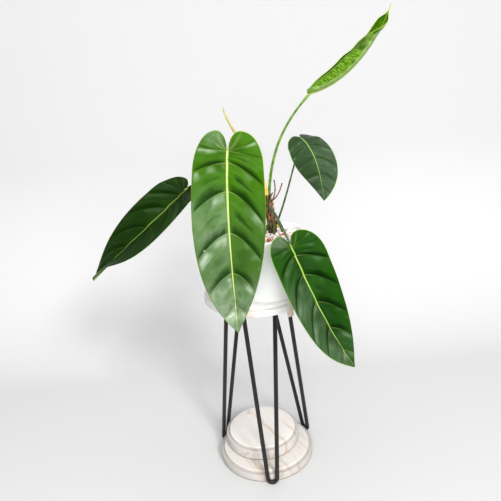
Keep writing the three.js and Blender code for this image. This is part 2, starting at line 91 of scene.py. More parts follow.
class Flow:
    # A value on its way through a node tree, so that sums on it can be written plainly
    def __init__(self, tree, socket):
        self.tree, self.socket = tree, socket

    def reckon(self, operation, other=0.0):
        return put(self.tree, "ShaderNodeMath", {0: self, 1: other}, operation=operation)

    def part(self, name):
        return Flow(self.tree, self.socket.node.outputs[name])

    def most(self, other):
        return self.reckon("MAXIMUM", other)

    def __add__(self, other):
        return self.reckon("ADD", other)

    def __sub__(self, other):
        return self.reckon("SUBTRACT", other)

    def __rsub__(self, other):
        return put(self.tree, "ShaderNodeMath", {0: other, 1: self}, operation="SUBTRACT")

    def __mul__(self, other):
        return self.reckon("MULTIPLY", other)

    def __truediv__(self, other):
        return self.reckon("DIVIDE", other)

    def __pow__(self, other):
        return self.reckon("POWER", other)

    def __abs__(self):
        return self.reckon("ABSOLUTE")


def feed(socket, value):
    # Links a value to a socket, or sets it, where a colour is three numbers
    if isinstance(value, Flow):
        value.tree.links.new(value.socket, socket)
    else:
        socket.default_value = (*value, 1) if socket.type == "RGBA" else value


def put(tree, kind, feeds=None, out=0, **settings):
    # Adds a node, fed by the name or number of each input, and hands on one of its outputs
    made = tree.nodes.new(kind)
    for name, value in settings.items():
        setattr(made, name, value)
    for name, value in (feeds or {}).items():
        feed(made.inputs[name], value)
    return Flow(tree, made.outputs[out])


def spread(value, low, high, start=0.0, end=1.0):
    # Maps low..high of a value smoothly to start..end
    return put(value.tree, "ShaderNodeMapRange", {
        "Value": value, "From Min": low, "From Max": high, "To Min": start, "To Max": end},
        interpolation_type="SMOOTHSTEP")


def blended(share, first, second, mode="MIX"):
    return put(share.tree, "ShaderNodeMix", {0: share, 6: first, 7: second}, 2,
               data_type="RGBA", blend_type=mode)


def axis(place, name):
    return put(place.tree, "ShaderNodeSeparateXYZ", {0: place}, name)


def vector(operation, first, second, out="Vector"):
    return put(first.tree, "ShaderNodeVectorMath", {0: first, 1: second}, out, operation=operation)


world = bpy.data.worlds.new("studio_light")
bpy.context.scene.world = world
world.use_nodes = True
sky = world.node_tree
heading = put(sky, "ShaderNodeTexCoord", out="Generated")
room = spread(axis(heading, "Y"), -0.6, 0.5, ROOM_FRONT, ROOM_BEHIND)
above = spread(axis(heading, "Z"), 0.35, 0.95, 0.0, ROOM_ABOVE)
panel = spread(vector("DOT_PRODUCT", heading, PANEL_DIRECTION, "Value"), 0.62, 0.95, 0.0, PANEL_GLOW)
around = sky.nodes["Background"]
feed(around.inputs["Color"], (1, 1, 1))
feed(around.inputs["Strength"], put(sky, "ShaderNodeMix", {
    0: put(sky, "ShaderNodeLightPath", out="Is Camera Ray"), 2: room + above + panel, 3: SKY_SEEN}))


def aimed_light(name, kind, place, goal, **settings):
    data = bpy.data.lights.new(name, kind)
    for key, value in settings.items():
        setattr(data, key, value)
    light = bpy.data.objects.new(name, data)
    bpy.context.collection.objects.link(light)
    light.rotation_euler = (Vector(place) - Vector(goal)).to_track_quat("Z", "Y").to_euler()
    light.location = place
    return light


aimed_light("high_right_lamp", "SUN", KEY_DIRECTION, (0, 0, 0),
            energy=KEY_STRENGTH, angle=math.radians(KEY_SOFTNESS))
window = aimed_light("window_behind_camera", "AREA", WINDOW_PLACE, (0, 0, 0.45),
                     energy=WINDOW_POWER, shape="RECTANGLE", size=WINDOW_SIZE[0], size_y=WINDOW_SIZE[1])
window.visible_glossy = False


def mesh_piece(name, points, faces, finish, smooth=True):
    # A piece from points in millimetres, linked to the scene
    mesh = bpy.data.meshes.new(name)
    mesh.from_pydata([tuple(p) for p in np.asarray(points) * MM], [], faces)
    piece = bpy.data.objects.new(name, mesh)
    bpy.context.collection.objects.link(piece)
    mesh.materials.append(finish)
    if smooth:
        mesh.shade_smooth()
    return piece


def new_finish(name):
    # A finish, its shader, and the place on the piece that its patterns follow
    finish = bpy.data.materials.new(name)
    finish.use_nodes = True
    return finish, finish.node_tree.nodes["Principled BSDF"], put(
        finish.node_tree, "ShaderNodeTexCoord", out="Object")


def dress(shader, colour, roughness, relief=None, shine=0.5):
    # Relief is a height that varies over the skin, its strength and its depth in metres
    feed(shader.inputs["Base Color"], colour)
    feed(shader.inputs["Roughness"], roughness)
    feed(shader.inputs["Specular IOR Level"], shine)
    if relief:
        height, strength, depth = relief
        feed(shader.inputs["Normal"], put(height.tree, "ShaderNodeBump", {
            "Height": height, "Strength": strength, "Distance": depth}, "Normal"))


# Away from the stand the paper throws little light back, as if dark cloth lay there. Seen
# from behind, it lets the camera through, so that the back can be looked at.
paper_finish, paper_shader, paper_place = new_finish("pale_paper")
paper_tree = paper_finish.node_tree
paper_across = axis(paper_place, "X")
lit_width = spread(paper_across, *PAPER_LIT_LEFT) * spread(paper_across, *PAPER_LIT_RIGHT)
paper_lit = spread(axis(paper_place, "Y"), *PAPER_LIT_FRONT) * lit_width
paper_seen = put(paper_tree, "ShaderNodeLightPath", out="Is Camera Ray")
dress(paper_shader, blended(paper_lit.most(paper_seen), PAPER_DIM, PAPER_PALE), 0.95, shine=0.1)
feed(paper_tree.nodes["Material Output"].inputs["Surface"], put(paper_tree, "ShaderNodeMixShader", {
    0: put(paper_tree, "ShaderNodeNewGeometry", out="Backfacing") * paper_seen,
    1: Flow(paper_tree, paper_shader.outputs[0]), 2: put(paper_tree, "ShaderNodeBsdfTransparent")}))
sweep = [(PAPER_FRONT, 0), (SWEEP_START, 0)]
for sweep_angle in np.radians(np.linspace(3, 90, 30)):
    sweep.append((SWEEP_START + SWEEP_RADIUS * math.sin(sweep_angle),
                  SWEEP_RADIUS * (1 - math.cos(sweep_angle))))
sweep.append((SWEEP_START + SWEEP_RADIUS, SWEEP_TOP))
paper_points = [(x / MM, y / MM, z / MM) for y, z in sweep for x in (-PAPER_HALF_WIDTH, PAPER_HALF_WIDTH)]
paper_faces = [(2 * i, 2 * i + 1, 2 * i + 3, 2 * i + 2) for i in range(len(sweep) - 1)]
paper = mesh_piece("paper_sweep", paper_points, paper_faces, paper_finish)

# Boards. Three round boards of glued pine, turned, with a step routed round the top edge and
# a thin white wash rubbed in, so that grain and knots show. One carries the pot and is
# screwed to the legs. The two others lie loose on the floor, one on the other.
# Foot shade is how strongly painted shade darkens the foot of each board
TOP_BOARD = {"radius": 121, "thick": 20, "centre": (4, 8), "underside": 410, "foot_shade": 0}
BASE_LOWER = {"radius": 111.5, "thick": 24, "centre": (-2.5, -1.4), "underside": 0, "foot_shade": 0.9}
BASE_UPPER = {"radius": 88.5, "thick": 30, "centre": (-10.3, 19), "underside": 24, "foot_shade": 0.9}
STEP_HEIGHT = 6
STEP_INSET = 8
ROUNDING = 2.2
# A brown painted in as shade, in the step's groove and at the foot of a board
CREVICE_SHADE_BROWN = (0.16, 0.11, 0.075)


def quarter_round(centre, radius, start, end, steps=5):
    angles = np.radians(np.linspace(start, end, steps))
    return [(centre[0] + radius * math.cos(a), centre[1] + radius * math.sin(a)) for a in angles]


def lathe(profile, sides, centre):
    # Turns a profile, from the axis out and back to it, round an upright axis
    points, faces, rings = [], [], []
    for radius, height in profile:
        if radius < 1e-6:
            rings.append([len(points)] * sides)
            points.append((centre[0], centre[1], height))
            continue
        rings.append(list(range(len(points), len(points) + sides)))
        for k in range(sides):
            angle = 2 * math.pi * k / sides
            x, y = radius * math.cos(angle), radius * math.sin(angle)
            points.append((centre[0] + x, centre[1] + y, height))
    for lower, upper in zip(rings, rings[1:]):
        for k in range(sides):
            after = (k + 1) % sides
            corners = list(dict.fromkeys([lower[k], lower[after], upper[after], upper[k]]))
            if len(corners) > 2:
                faces.append(corners)
    return points, faces


def board_profile(radius, thick):
    step = thick - STEP_HEIGHT
    raised = radius - STEP_INSET
    r = ROUNDING
    return [
        (0, 0), (radius * 0.5, 0), (radius - r, 0), *quarter_round((radius - r, r), r, -90, 0),
        *quarter_round((radius - r, step - r), r, 0, 90),
        (raised + 1.6, step + 0.1), (raised + 0.4, step + 0.5), (raised, step + 1.6),
        *quarter_round((raised - r, thick - r), r, 0, 90), (raised * 0.6, thick), (0, thick),
    ]


def new_tree(name, kind, takes, gives):
    # A node tree. Takes are its inputs, each with its kind or a usual number, gives its outputs.
    tree = bpy.data.node_groups.new(name, kind)
    for label, value in takes.items():
        sort = value if isinstance(value, str) else type(value).__name__.title()
        socket = tree.interface.new_socket(label, in_out="INPUT", socket_type="NodeSocket" + sort)
        if sort != value:
            socket.default_value = value
    for label in gives:
        sort = label if label in ("Color", "Geometry") else "Float"
        tree.interface.new_socket(label, in_out="OUTPUT", socket_type="NodeSocket" + sort)
    inputs = {socket.name: Flow(tree, socket) for socket in tree.nodes.new("NodeGroupInput").outputs}
    return tree, inputs, tree.nodes.new("NodeGroupOutput").inputs


def noise(place, scale, detail, roughness=0.5, distortion=0.0):
    return put(place.tree, "ShaderNodeTexNoise", {
        "Vector": place, "Scale": scale, "Detail": detail, "Roughness": roughness, "Distortion": distortion})


grain, grain_in, grain_out = new_tree("washed_grain", "ShaderNodeTree", {
    "Position": "Vector", "Grain Turn": "Float", "Wash": "Color", "Bare Wood": "Color", "Wear": "Float",
    "Knot": "Vector", "Knot Size": "Float",
}, ("Color", "Roughness", "Height"))
turned, turned_knot = (put(grain, "ShaderNodeVectorRotate", {
    "Vector": grain_in[label], "Angle": grain_in["Grain Turn"]}, rotation_type="Z_AXIS")
    for label in ("Position", "Knot"))
knot_share = vector("DISTANCE", grain_in["Position"], grain_in["Knot"], "Value") / grain_in["Knot Size"]
knot_bend = spread(knot_share, 0.0, 5.0, 0.006, 0.0)
bent = vector("ADD", turned, put(grain, "ShaderNodeCombineXYZ", {"Y": knot_bend}))
streaks = noise(vector("MULTIPLY", bent, (4, 85, 45)), 1.0, 5.0, 0.6, 0.4)
fibres = noise(vector("MULTIPLY", bent, (40, 700, 320)), 1.0, 4.0, 0.65)
patches = noise(turned, 14.0, 3.0)
past_knot = axis(vector("SUBTRACT", bent, turned_knot), "Y") + spread(patches, 0.3, 0.7, -0.011, 0.001)
knot_streak = spread(abs(past_knot), 0.0075, 0.001) * 0.8
knot_mark = spread(knot_share, 1.5, 0.3).most(knot_streak * spread(patches, 0.25, 0.5))
streak_share = spread(streaks, 0.5, 0.74) * spread(patches, 0.38, 0.62)
worn = (streak_share + spread(fibres, 0.5, 0.75) * 0.35) * grain_in["Wear"]
bareness = worn.most(knot_mark * 0.6)
feed(grain_out["Color"], blended(bareness, grain_in["Wash"], grain_in["Bare Wood"]))
feed(grain_out["Roughness"], spread(bareness, 0.0, 1.0, 0.78, 0.6))
feed(grain_out["Height"], fibres - streaks * 0.6)


def washed_board(name, node, size, grain_turn, wash, bare, wear, knot, knot_size, rim_shade_and_end_grain):
    # The wash is worn along the grain. Painted shade darkens the step and foot, and the rim is darker: end
    # grain and painted shade.
    finish, shader, place = new_finish(name + "_wash")
    wood = put(place.tree, "ShaderNodeGroup", {
        "Position": place, "Grain Turn": math.radians(grain_turn), "Wash": wash, "Bare Wood": bare,
        "Wear": wear, "Knot": [MM * v for v in knot], "Knot Size": MM * knot_size}, node_tree=grain)
    height = axis(place, "Z") - MM * size["underside"]
    step_height = MM * (size["thick"] - STEP_HEIGHT + 0.6)
    # Painted shade darkens the step's groove, and the foot of a board that lies on the floor or on another
    # board
    step_shade = spread(abs(height - step_height), 0.0013, 0.0002) * 0.22
    foot_shade_mask = spread(height, 0.0038, 0.0018) * size["foot_shade"]
    # The rim is painted darker: partly end grain, partly painted shade of the sides
    on_rim = spread(height, MM * (size["thick"] - 0.6), MM * (size["thick"] - 2.6))
    rimmed = blended(on_rim, wood.part("Color"), (rim_shade_and_end_grain,) * 3, "MULTIPLY")
    dress(shader, blended(step_shade.most(foot_shade_mask), rimmed, CREVICE_SHADE_BROWN), wood.part("Roughness"),
          (wood.part("Height"), 0.5, 0.0006))
    points, faces = lathe(board_profile(size["radius"], size["thick"]), 144, size["centre"])
    piece = mesh_piece(name, [(x, y, z + size["underside"]) for x, y, z in points], faces, finish)
    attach(piece, "root")
    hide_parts(node)


washed_board("pot_board", "stand_top", TOP_BOARD, grain_turn=20, wash=(0.79, 0.78, 0.76),
             bare=(0.50, 0.36, 0.27), wear=0.45, knot=(-14, -113, 414), knot_size=9, rim_shade_and_end_grain=0.93)
washed_board("lower_disc", "base_lower", BASE_LOWER, grain_turn=58, wash=(0.55, 0.525, 0.495),
             bare=(0.38, 0.26, 0.165), wear=0.7, knot=(-20, -97, 23), knot_size=10, rim_shade_and_end_grain=0.74)
washed_board("upper_disc", "base_upper", BASE_UPPER, grain_turn=58, wash=(0.63, 0.60, 0.57),
             bare=(0.42, 0.28, 0.175), wear=0.8, knot=(-42, 75, 54), knot_size=6, rim_shade_and_end_grain=0.72)

# Legs. Each is a hairpin: one steel rod bent double, welded to a small plate that is
# screwed under the board, and powder coated black with a satin sheen.
ROD_RADIUS = 4.75
ROD_TOP_REACH = 58
FOOT_REACH = 119.8
ROD_TOP_SPREAD = 69
BEND_RADIUS = 10.5
LEG_PLATE = (92, 34, 3)
PLATE_CORNER = 5
PLATE_UNDERSIDE = TOP_BOARD["underside"] - LEG_PLATE[2]
LEG_TURNS = {"leg_front": -87.5, "leg_right": 32.5, "leg_left": 152.5}
SCREW_PLACES = [(-38, -11), (38, -11), (-38, 11), (38, 11)]


def toned(value, low, high, dark, light):
    # Goes from one colour to the other as the value goes from low to high
    return blended(spread(value, low, high), dark, light)


coat_finish, coat_shader, coat_place = new_finish("black_powder_coat")
coat_clouds = noise(coat_place, 45.0, 3.0)
dress(coat_shader, toned(coat_clouds, 0.35, 0.7, (0.005, 0.0045, 0.0045), (0.010, 0.009, 0.0085)),
      spread(coat_clouds, 0.3, 0.7, 0.42, 0.56), (noise(coat_place, 900.0, 2.0), 0.25, 0.0002))


def close_tree(geometry, finish, out):
    # Ends a geometry tree: its copies made real and dressed in their finish
    real = put(geometry.tree, "GeometryNodeRealizeInstances", {"Geometry": geometry})
    dressed = put(geometry.tree, "GeometryNodeSetMaterial", {"Geometry": real, "Material": finish})
    feed(out["Geometry"], dressed)


def grown(name, start, tree, values):
    # Runs a geometry tree on a starting object and keeps the result as one plain mesh
    modifier = start.modifiers.new("shape", "NODES")
    modifier.node_group = tree
    for item in tree.interface.items_tree:
        if item.in_out == "INPUT" and item.name in values:
            modifier[item.identifier] = values[item.name]
    start.update_tag()
    graph = bpy.context.evaluated_depsgraph_get()
    mesh = bpy.data.meshes.new_from_object(start.evaluated_get(graph))
    mesh.name = name
    piece = bpy.data.objects.new(name, mesh)
    bpy.context.collection.objects.link(piece)
    bpy.data.objects.remove(start)
    return piece


rod_tree, rod_in, rod_out = new_tree("bent_rod", "GeometryNodeTree", {
    "Geometry": "Geometry", "Rod Radius": "Float", "Sides": "Int", "Finish": "Material"}, ("Geometry",))
rod_section = put(rod_tree, "GeometryNodeCurvePrimitiveCircle", {
    "Radius": rod_in["Rod Radius"], "Resolution": rod_in["Sides"]}, mode="RADIUS")
rod_skin = put(rod_tree, "GeometryNodeCurveToMesh", {
    "Curve": rod_in["Geometry"], "Profile Curve": rod_section, "Fill Caps": True})
close_tree(put(rod_tree, "GeometryNodeSetShadeSmooth", {"Geometry": rod_skin}), rod_in["Finish"], rod_out)


def path_object(name, points):
    curve = bpy.data.curves.new(name, "CURVE")
    curve.dimensions = "3D"
    strand = curve.splines.new("POLY")
    strand.points.add(len(points) - 1)
    for point, place in zip(strand.points, points):
        point.co = (*[MM * v for v in place], 1)
    path = bpy.data.objects.new(name, curve)
    bpy.context.collection.objects.link(path)
    return path


def swung(x, y, turn):
    # A point swung round the upright axis by a turn in degrees
    angle = math.radians(turn)
    return x * math.cos(angle) - y * math.sin(angle), x * math.sin(angle) + y * math.cos(angle)


def hairpin_path(turn):
    # Down one run, round the bend and up the other, leaning out from the plate to the foot
    drop = PLATE_UNDERSIDE + 1 - ROD_RADIUS
    length = math.hypot(drop, FOOT_REACH - ROD_TOP_REACH)
    lean = math.atan2(FOOT_REACH - ROD_TOP_REACH, drop)
    half_spread = ROD_TOP_SPREAD / 2
    centre = length - BEND_RADIUS
    start = math.atan2(half_spread, centre) - math.asin(BEND_RADIUS / math.hypot(half_spread, centre))
    bend = [(BEND_RADIUS * math.cos(a), centre + BEND_RADIUS * math.sin(a))
            for a in np.linspace(start, math.pi - start, 33)]
    run = [(half_spread + (bend[0][0] - half_spread) * s, bend[0][1] * s) for s in (0, 0.25, 0.5, 0.75)]
    flat = run + bend + [(-x, down) for x, down in reversed(run)]
    return [(*swung(x, -ROD_TOP_REACH - down * math.sin(lean), turn + 90),
             PLATE_UNDERSIDE + 1 - down * math.cos(lean)) for x, down in flat]


screw_tree, screw_in, screw_out = new_tree("plate_screws", "GeometryNodeTree", {
    "Geometry": "Geometry", "Head Radius": 0.004, "Finish": "Material"}, ("Geometry",))
screw_head = put(screw_tree, "GeometryNodeMeshUVSphere", {
    "Segments": 14, "Rings": 8, "Radius": screw_in["Head Radius"]})
screw_flat = put(screw_tree, "GeometryNodeTransform", {"Geometry": screw_head, "Scale": (1, 1, 0.5)})
close_tree(put(screw_tree, "GeometryNodeInstanceOnPoints", {
    "Points": screw_in["Geometry"], "Instance": screw_flat}), screw_in["Finish"], screw_out)


def rounded_plate(name, size, corner, turn):
    long, deep, thick = size
    outline = []
    for sx, sy, start in ((1, 1, 0), (-1, 1, 90), (-1, -1, 180), (1, -1, 270)):
        middle = (sx * (long / 2 - corner), sy * (deep / 2 - corner))
        outline += quarter_round(middle, corner, start, start + 90, 6)
    count = len(outline)
    points = [(*swung(x, y - ROD_TOP_REACH, turn + 90), height)
              for height in (PLATE_UNDERSIDE, PLATE_UNDERSIDE + thick) for x, y in outline]
    faces = [tuple(reversed(range(count))), tuple(range(count, 2 * count))]
    faces += [(k, (k + 1) % count, count + (k + 1) % count, count + k) for k in range(count)]
    return mesh_piece(name, points, faces, coat_finish, smooth=False)


def joined_pieces(name, pieces):
    bpy.ops.object.select_all(action="DESELECT")
    for piece in pieces:
        piece.select_set(True)
    bpy.context.view_layer.objects.active = pieces[0]
    bpy.ops.object.join()
    pieces[0].name = name
    pieces[0].data.name = name
    return pieces[0]


for leg_node, leg_turn in LEG_TURNS.items():
    rod = grown(leg_node + "_rod", path_object("rod_path", hairpin_path(leg_turn)), rod_tree,
                {"Rod Radius": ROD_RADIUS * MM, "Sides": 24, "Finish": coat_finish})
    plate = rounded_plate(leg_node + "_plate", LEG_PLATE, PLATE_CORNER, leg_turn)
    spots = [(*swung(x, y - ROD_TOP_REACH, leg_turn + 90), PLATE_UNDERSIDE) for x, y in SCREW_PLACES]
    screws = grown(leg_node + "_screws", mesh_piece("spots", spots, [], coat_finish), screw_tree,
                   {"Finish": coat_finish})
    leg = joined_pieces(leg_node.replace("leg_", "") + "_hairpin", [rod, plate, screws])
    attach(leg, "root")
    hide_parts(leg_node)

# Pot. Slip-cast stoneware, thin walled, wider towards its rounded lip, and dipped in a smooth
# white glaze. It stands on the board, to the front and to the right of its middle.
POT_CENTRE = (27.7, -23)
POT_UNDERSIDE = TOP_BOARD["underside"] + TOP_BOARD["thick"]
POT_FOOT = 67
POT_RIM = 80.7
POT_HEIGHT = 134
POT_WALL = 4
POT_FLOOR = 6
POT_CORNER = 4
RIM_HEIGHT = POT_UNDERSIDE + POT_HEIGHT

glaze_finish, glaze_shader, glaze_place = new_finish("white_glaze_coat")
glaze_clouds = noise(glaze_place, 16.0, 3.0)
dress(glaze_shader, toned(glaze_clouds, 0.35, 0.7, (0.82, 0.825, 0.82), (0.86, 0.862, 0.855)),
      spread(glaze_clouds, 0.3, 0.7, 0.16, 0.24), (noise(glaze_place, 130.0, 2.0), 0.12, 0.0004))


def pot_radius(height):
    return POT_FOOT + (POT_RIM - POT_FOOT) * (height - POT_UNDERSIDE) / POT_HEIGHT


pot_inside = POT_UNDERSIDE + POT_FLOOR
pot_floor_radius = pot_radius(pot_inside) - POT_WALL - POT_CORNER
pot_lip = POT_WALL / 2
pot_outer = [(pot_radius(h), h) for h in np.linspace(POT_UNDERSIDE + 5, RIM_HEIGHT - pot_lip, 16)]
pot_inner = [(pot_radius(h) - POT_WALL, h)
             for h in np.linspace(RIM_HEIGHT - pot_lip, pot_inside + POT_CORNER, 12)]
pot_profile = [
    (0, POT_UNDERSIDE), (POT_FOOT * 0.8, POT_UNDERSIDE),
    *quarter_round((POT_FOOT - POT_CORNER, POT_UNDERSIDE + POT_CORNER), POT_CORNER, -90, 0, 7), *pot_outer,
    *quarter_round((POT_RIM - pot_lip - 0.1, RIM_HEIGHT - pot_lip), pot_lip, 15, 165, 9), *pot_inner,
    *quarter_round((pot_floor_radius, pot_inside + POT_CORNER), POT_CORNER, 0, -90, 5), (0, pot_inside),
]
pot = mesh_piece("glazed_pot", *lathe(pot_profile, 160, POT_CENTRE), glaze_finish)
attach(pot, "root")
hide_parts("pot")

# Filling. Loose pumice, pale grey to pinkish, in chunks of 5 to 9 mm, with a few chips of
# red lava among them. It lies a finger's width below the lip and hides the soil below.
FILL_HEIGHT = RIM_HEIGHT - 10
CHUNK_HALF = (2.6, 4.6)
BED_RADIUS = pot_radius(FILL_HEIGHT) - POT_WALL - 4.2
CHIP_HEIGHT = FILL_HEIGHT + 2.6

# Layers of chunks as depth and seed, red chips as place and seed
CHUNK_LAYERS = [(3.6, 3), (0.4, 11)]
RED_CHIPS = [(64, -31, 20), (34, -62, 95), (3, -5, 60), (42, 38, 130)]

stone, stone_in, stone_out = new_tree("porous_stone", "ShaderNodeTree", {
    "Position": "Vector", "Tone": "Float", "Pale": "Color", "Dull": "Color"}, ("Color", "Height"))
stone_pores = put(stone, "ShaderNodeTexVoronoi", {
    "Vector": stone_in["Position"], "Scale": 1100.0}, "Distance")
stone_dust = noise(stone_in["Position"], 420.0, 4.0, 0.6)
stone_tint = blended(stone_in["Tone"] * 0.75 + stone_dust * 0.25, stone_in["Pale"], stone_in["Dull"])
# The pores are painted darker, as painted shade in the pits
stone_pit_shade = spread(stone_pores, 0.08, 0.35, 0.62, 1.0)
stone_pit_shading = put(stone, "ShaderNodeCombineColor", {0: stone_pit_shade, 1: stone_pit_shade, 2: stone_pit_shade})
feed(stone_out["Color"], put(stone, "ShaderNodeMix", {0: 1.0, 6: stone_tint, 7: stone_pit_shading}, 2,
                             data_type="RGBA", blend_type="MULTIPLY"))
feed(stone_out["Height"], stone_pores + stone_dust)


def attribute(tree, name):
    return put(tree, "ShaderNodeAttribute", out="Fac", attribute_name=name)


def stone_finish(name, pale, dull):
    finish, shader, place = new_finish(name)
    tone = attribute(place.tree, "chunk_tone")
    mixed = put(place.tree, "ShaderNodeGroup", {
        "Position": place, "Tone": tone, "Pale": pale, "Dull": dull}, node_tree=stone)
    dress(shader, mixed.part("Color"), 0.9, (mixed.part("Height"), 0.7, 0.0006))
    return finish


pumice_finish = stone_finish("pumice_grit", (0.80, 0.76, 0.73), (0.52, 0.40, 0.36))
red_finish = stone_finish("red_lava_grit", (0.42, 0.10, 0.05), (0.25, 0.05, 0.03))


def drawn(low, high, seed):
    # A random value between low and high, another one for each place
    first, sort = (0, "FLOAT_VECTOR") if isinstance(high, tuple) else (2, "FLOAT")
    return put(seed.tree, "FunctionNodeRandomValue", {first: low, first + 1: high, "Seed": seed},
               first // 2, data_type=sort)


def strewn(inputs):
    # Points strewn over the starting faces, no two nearer to each other than the spacing
    return put(inputs["Seed"].tree, "GeometryNodeDistributePointsOnFaces", {
        "Mesh": inputs["Geometry"], "Distance Min": inputs["Spacing"], "Density Max": inputs["Density"],
        "Seed": inputs["Seed"]}, distribute_method="POISSON")


def moved(geometry, **places):
    return put(geometry.tree, "GeometryNodeSetPosition", {"Geometry": geometry, **places})


def scaled(way, share):
    return put(way.tree, "ShaderNodeVectorMath", {0: way, 3: share}, operation="SCALE")


def numbered(copies, name, value):
    # Gives each copy one number that the finish reads
    return put(copies.tree, "GeometryNodeStoreNamedAttribute", {
        "Geometry": copies, "Name": name, "Value": value}, data_type="FLOAT", domain="INSTANCE")


fill_tree, fill_in, fill_out = new_tree("scattered_chunks", "GeometryNodeTree", {
    "Geometry": "Geometry", "Spacing": "Float", "Density": 60000.0, "Smallest": "Float", "Largest": "Float",
    "Rise": 0.002, "Roughness": 0.004, "Seed": "Int", "Finish": "Material"}, ("Geometry",))
fill_seed = fill_in["Seed"]
fill_lift = drawn(fill_in["Rise"] * -1.0, fill_in["Rise"], fill_seed)
fill_raised = moved(strewn(fill_in), Offset=put(fill_tree, "ShaderNodeCombineXYZ", {"Z": fill_lift}))
fill_cube = put(fill_tree, "GeometryNodeMeshCube", {
    "Size": (2, 2, 2), "Vertices X": 3, "Vertices Y": 3, "Vertices Z": 3})
fill_round = moved(fill_cube, Position=put(fill_tree, "ShaderNodeVectorMath", {
    0: put(fill_tree, "GeometryNodeInputPosition")}, operation="NORMALIZE"))
fill_turn = drawn((0, 0, 0), (6.28, 6.28, 6.28), fill_seed)
fill_size = drawn(fill_in["Smallest"], fill_in["Largest"], fill_seed + 1.0)
fill_copies = put(fill_tree, "GeometryNodeInstanceOnPoints", {
    "Points": fill_raised, "Instance": fill_round,
    "Rotation": put(fill_tree, "FunctionNodeEulerToRotation", {0: fill_turn}),
    "Scale": put(fill_tree, "ShaderNodeCombineXYZ", {
        "X": fill_size, "Y": fill_size, "Z": fill_size * 0.72})})
fill_toned = numbered(fill_copies, "chunk_tone", drawn(0.0, 1.0, fill_seed + 2.0) ** 1.8)
fill_real = put(fill_tree, "GeometryNodeRealizeInstances", {"Geometry": fill_toned})
fill_noise = put(fill_tree, "ShaderNodeTexNoise", {
    "Scale": 170.0, "Detail": 1.0}, "Color", noise_dimensions="3D")
fill_push = scaled(vector("SUBTRACT", fill_noise, (0.5, 0.5, 0.5)), fill_in["Roughness"])
close_tree(moved(fill_real, Offset=fill_push), fill_in["Finish"], fill_out)

bed_profile = [(0, pot_inside + 1), (pot_floor_radius, pot_inside + 1),
               (pot_radius(FILL_HEIGHT) - POT_WALL - 0.6, FILL_HEIGHT - 4.5), (0, FILL_HEIGHT - 4.5)]
fill_parts = [mesh_piece("soil_body", *lathe(bed_profile, 72, POT_CENTRE), pumice_finish, smooth=False)]
for layer_depth, layer_seed in CHUNK_LAYERS:
    layer_top = FILL_HEIGHT - layer_depth
    bed = mesh_piece("bed", *lathe([(BED_RADIUS, layer_top), (0, layer_top)], 48, POT_CENTRE),
                     pumice_finish, smooth=False)
    fill_parts.append(grown("chunks", bed, fill_tree, {
        "Spacing": 0.0062, "Smallest": CHUNK_HALF[0] * MM, "Largest": CHUNK_HALF[1] * MM,
        "Seed": layer_seed, "Finish": pumice_finish}))
filling = joined_pieces("pumice_filling", fill_parts)
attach(filling, "root")
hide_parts("substrate")

for chip_number, (chip_x, chip_y, chip_seed) in enumerate(RED_CHIPS, 1):
    chip_corners = [(chip_x + x, chip_y + y, CHIP_HEIGHT) for x, y in ((-1, -1), (1, -1), (0, 1.5))]
    chip_spot = mesh_piece("chip_spot", chip_corners, [(0, 1, 2)], red_finish)
    chip = grown(f"lava_chip_{chip_number}", chip_spot, fill_tree, {
        "Spacing": 0.02, "Density": 6e6, "Smallest": 0.0052, "Largest": 0.0058, "Rise": 0.0,
        "Seed": chip_seed, "Finish": red_finish})
    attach(chip, "root")
    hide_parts(f"red_chip_{chip_number}")

# Stem. A short woody stem, ringed where old leaves fell off and shaggy with the fibres of
# their sheaths. Wiry roots leave it: some prop it in the filling, some end in the air.
STEM = [(50, 8, 490), (48, 4, 545), (41, -4, 600), (36, -14, 646)]
STEM_RADIUS = 9
ROOT_RADIUS = 1.5
AIR_ROOTS = [
    [(42, -14, 622), (50, -17, 628), (58, -18, 648), (53, -18, 671)],
    [(42, -15, 626), (55, -20, 630), (64, -21, 646), (69, -22, 664)],
    [(38, -16, 630), (43, -22, 636), (46, -22, 640), (49, -21, 646)],
]
PROP_ROOTS = [
    [(46, 0, 588), (34, -12, 580), (30, -16, 566), (27, -19, 546)],
    [(48, 4, 582), (60, -10, 578), (64, -13, 564), (66, -15, 546)],
    [(46, 0, 580), (48, -14, 574), (48, -20, 562), (48, -22, 546)],
    [(47, 6, 584), (38, 20, 578), (36, 26, 564), (36, 29, 546)],
]
FLAKED_STRETCH = [(46.5, 3, 562), (45, 1, 590), (41, -4, 612), (36.5, -13, 642)]


def bezier(points, t):
    a, b, c, d = (np.array(p, float) for p in points)
    t = np.asarray(t, float)[..., None]
    return a * (1 - t) ** 3 + 3 * b * t * (1 - t) ** 2 + 3 * c * t ** 2 * (1 - t) + d * t ** 3


def unit(vectors):
    return vectors / np.maximum(np.linalg.norm(vectors, axis=-1, keepdims=True), 1e-9)


def smooth_step(value, low, high):
    share = np.clip((np.asarray(value, float) - low) / (high - low), 0, 1)
    return share * share * (3 - 2 * share)


def mark(piece, name, values):
    # Keeps one number for each point, which the finish reads
    numbers = piece.data.attributes.new(name, "FLOAT", "POINT")
    numbers.data.foreach_set("value", np.asarray(values, np.float32))


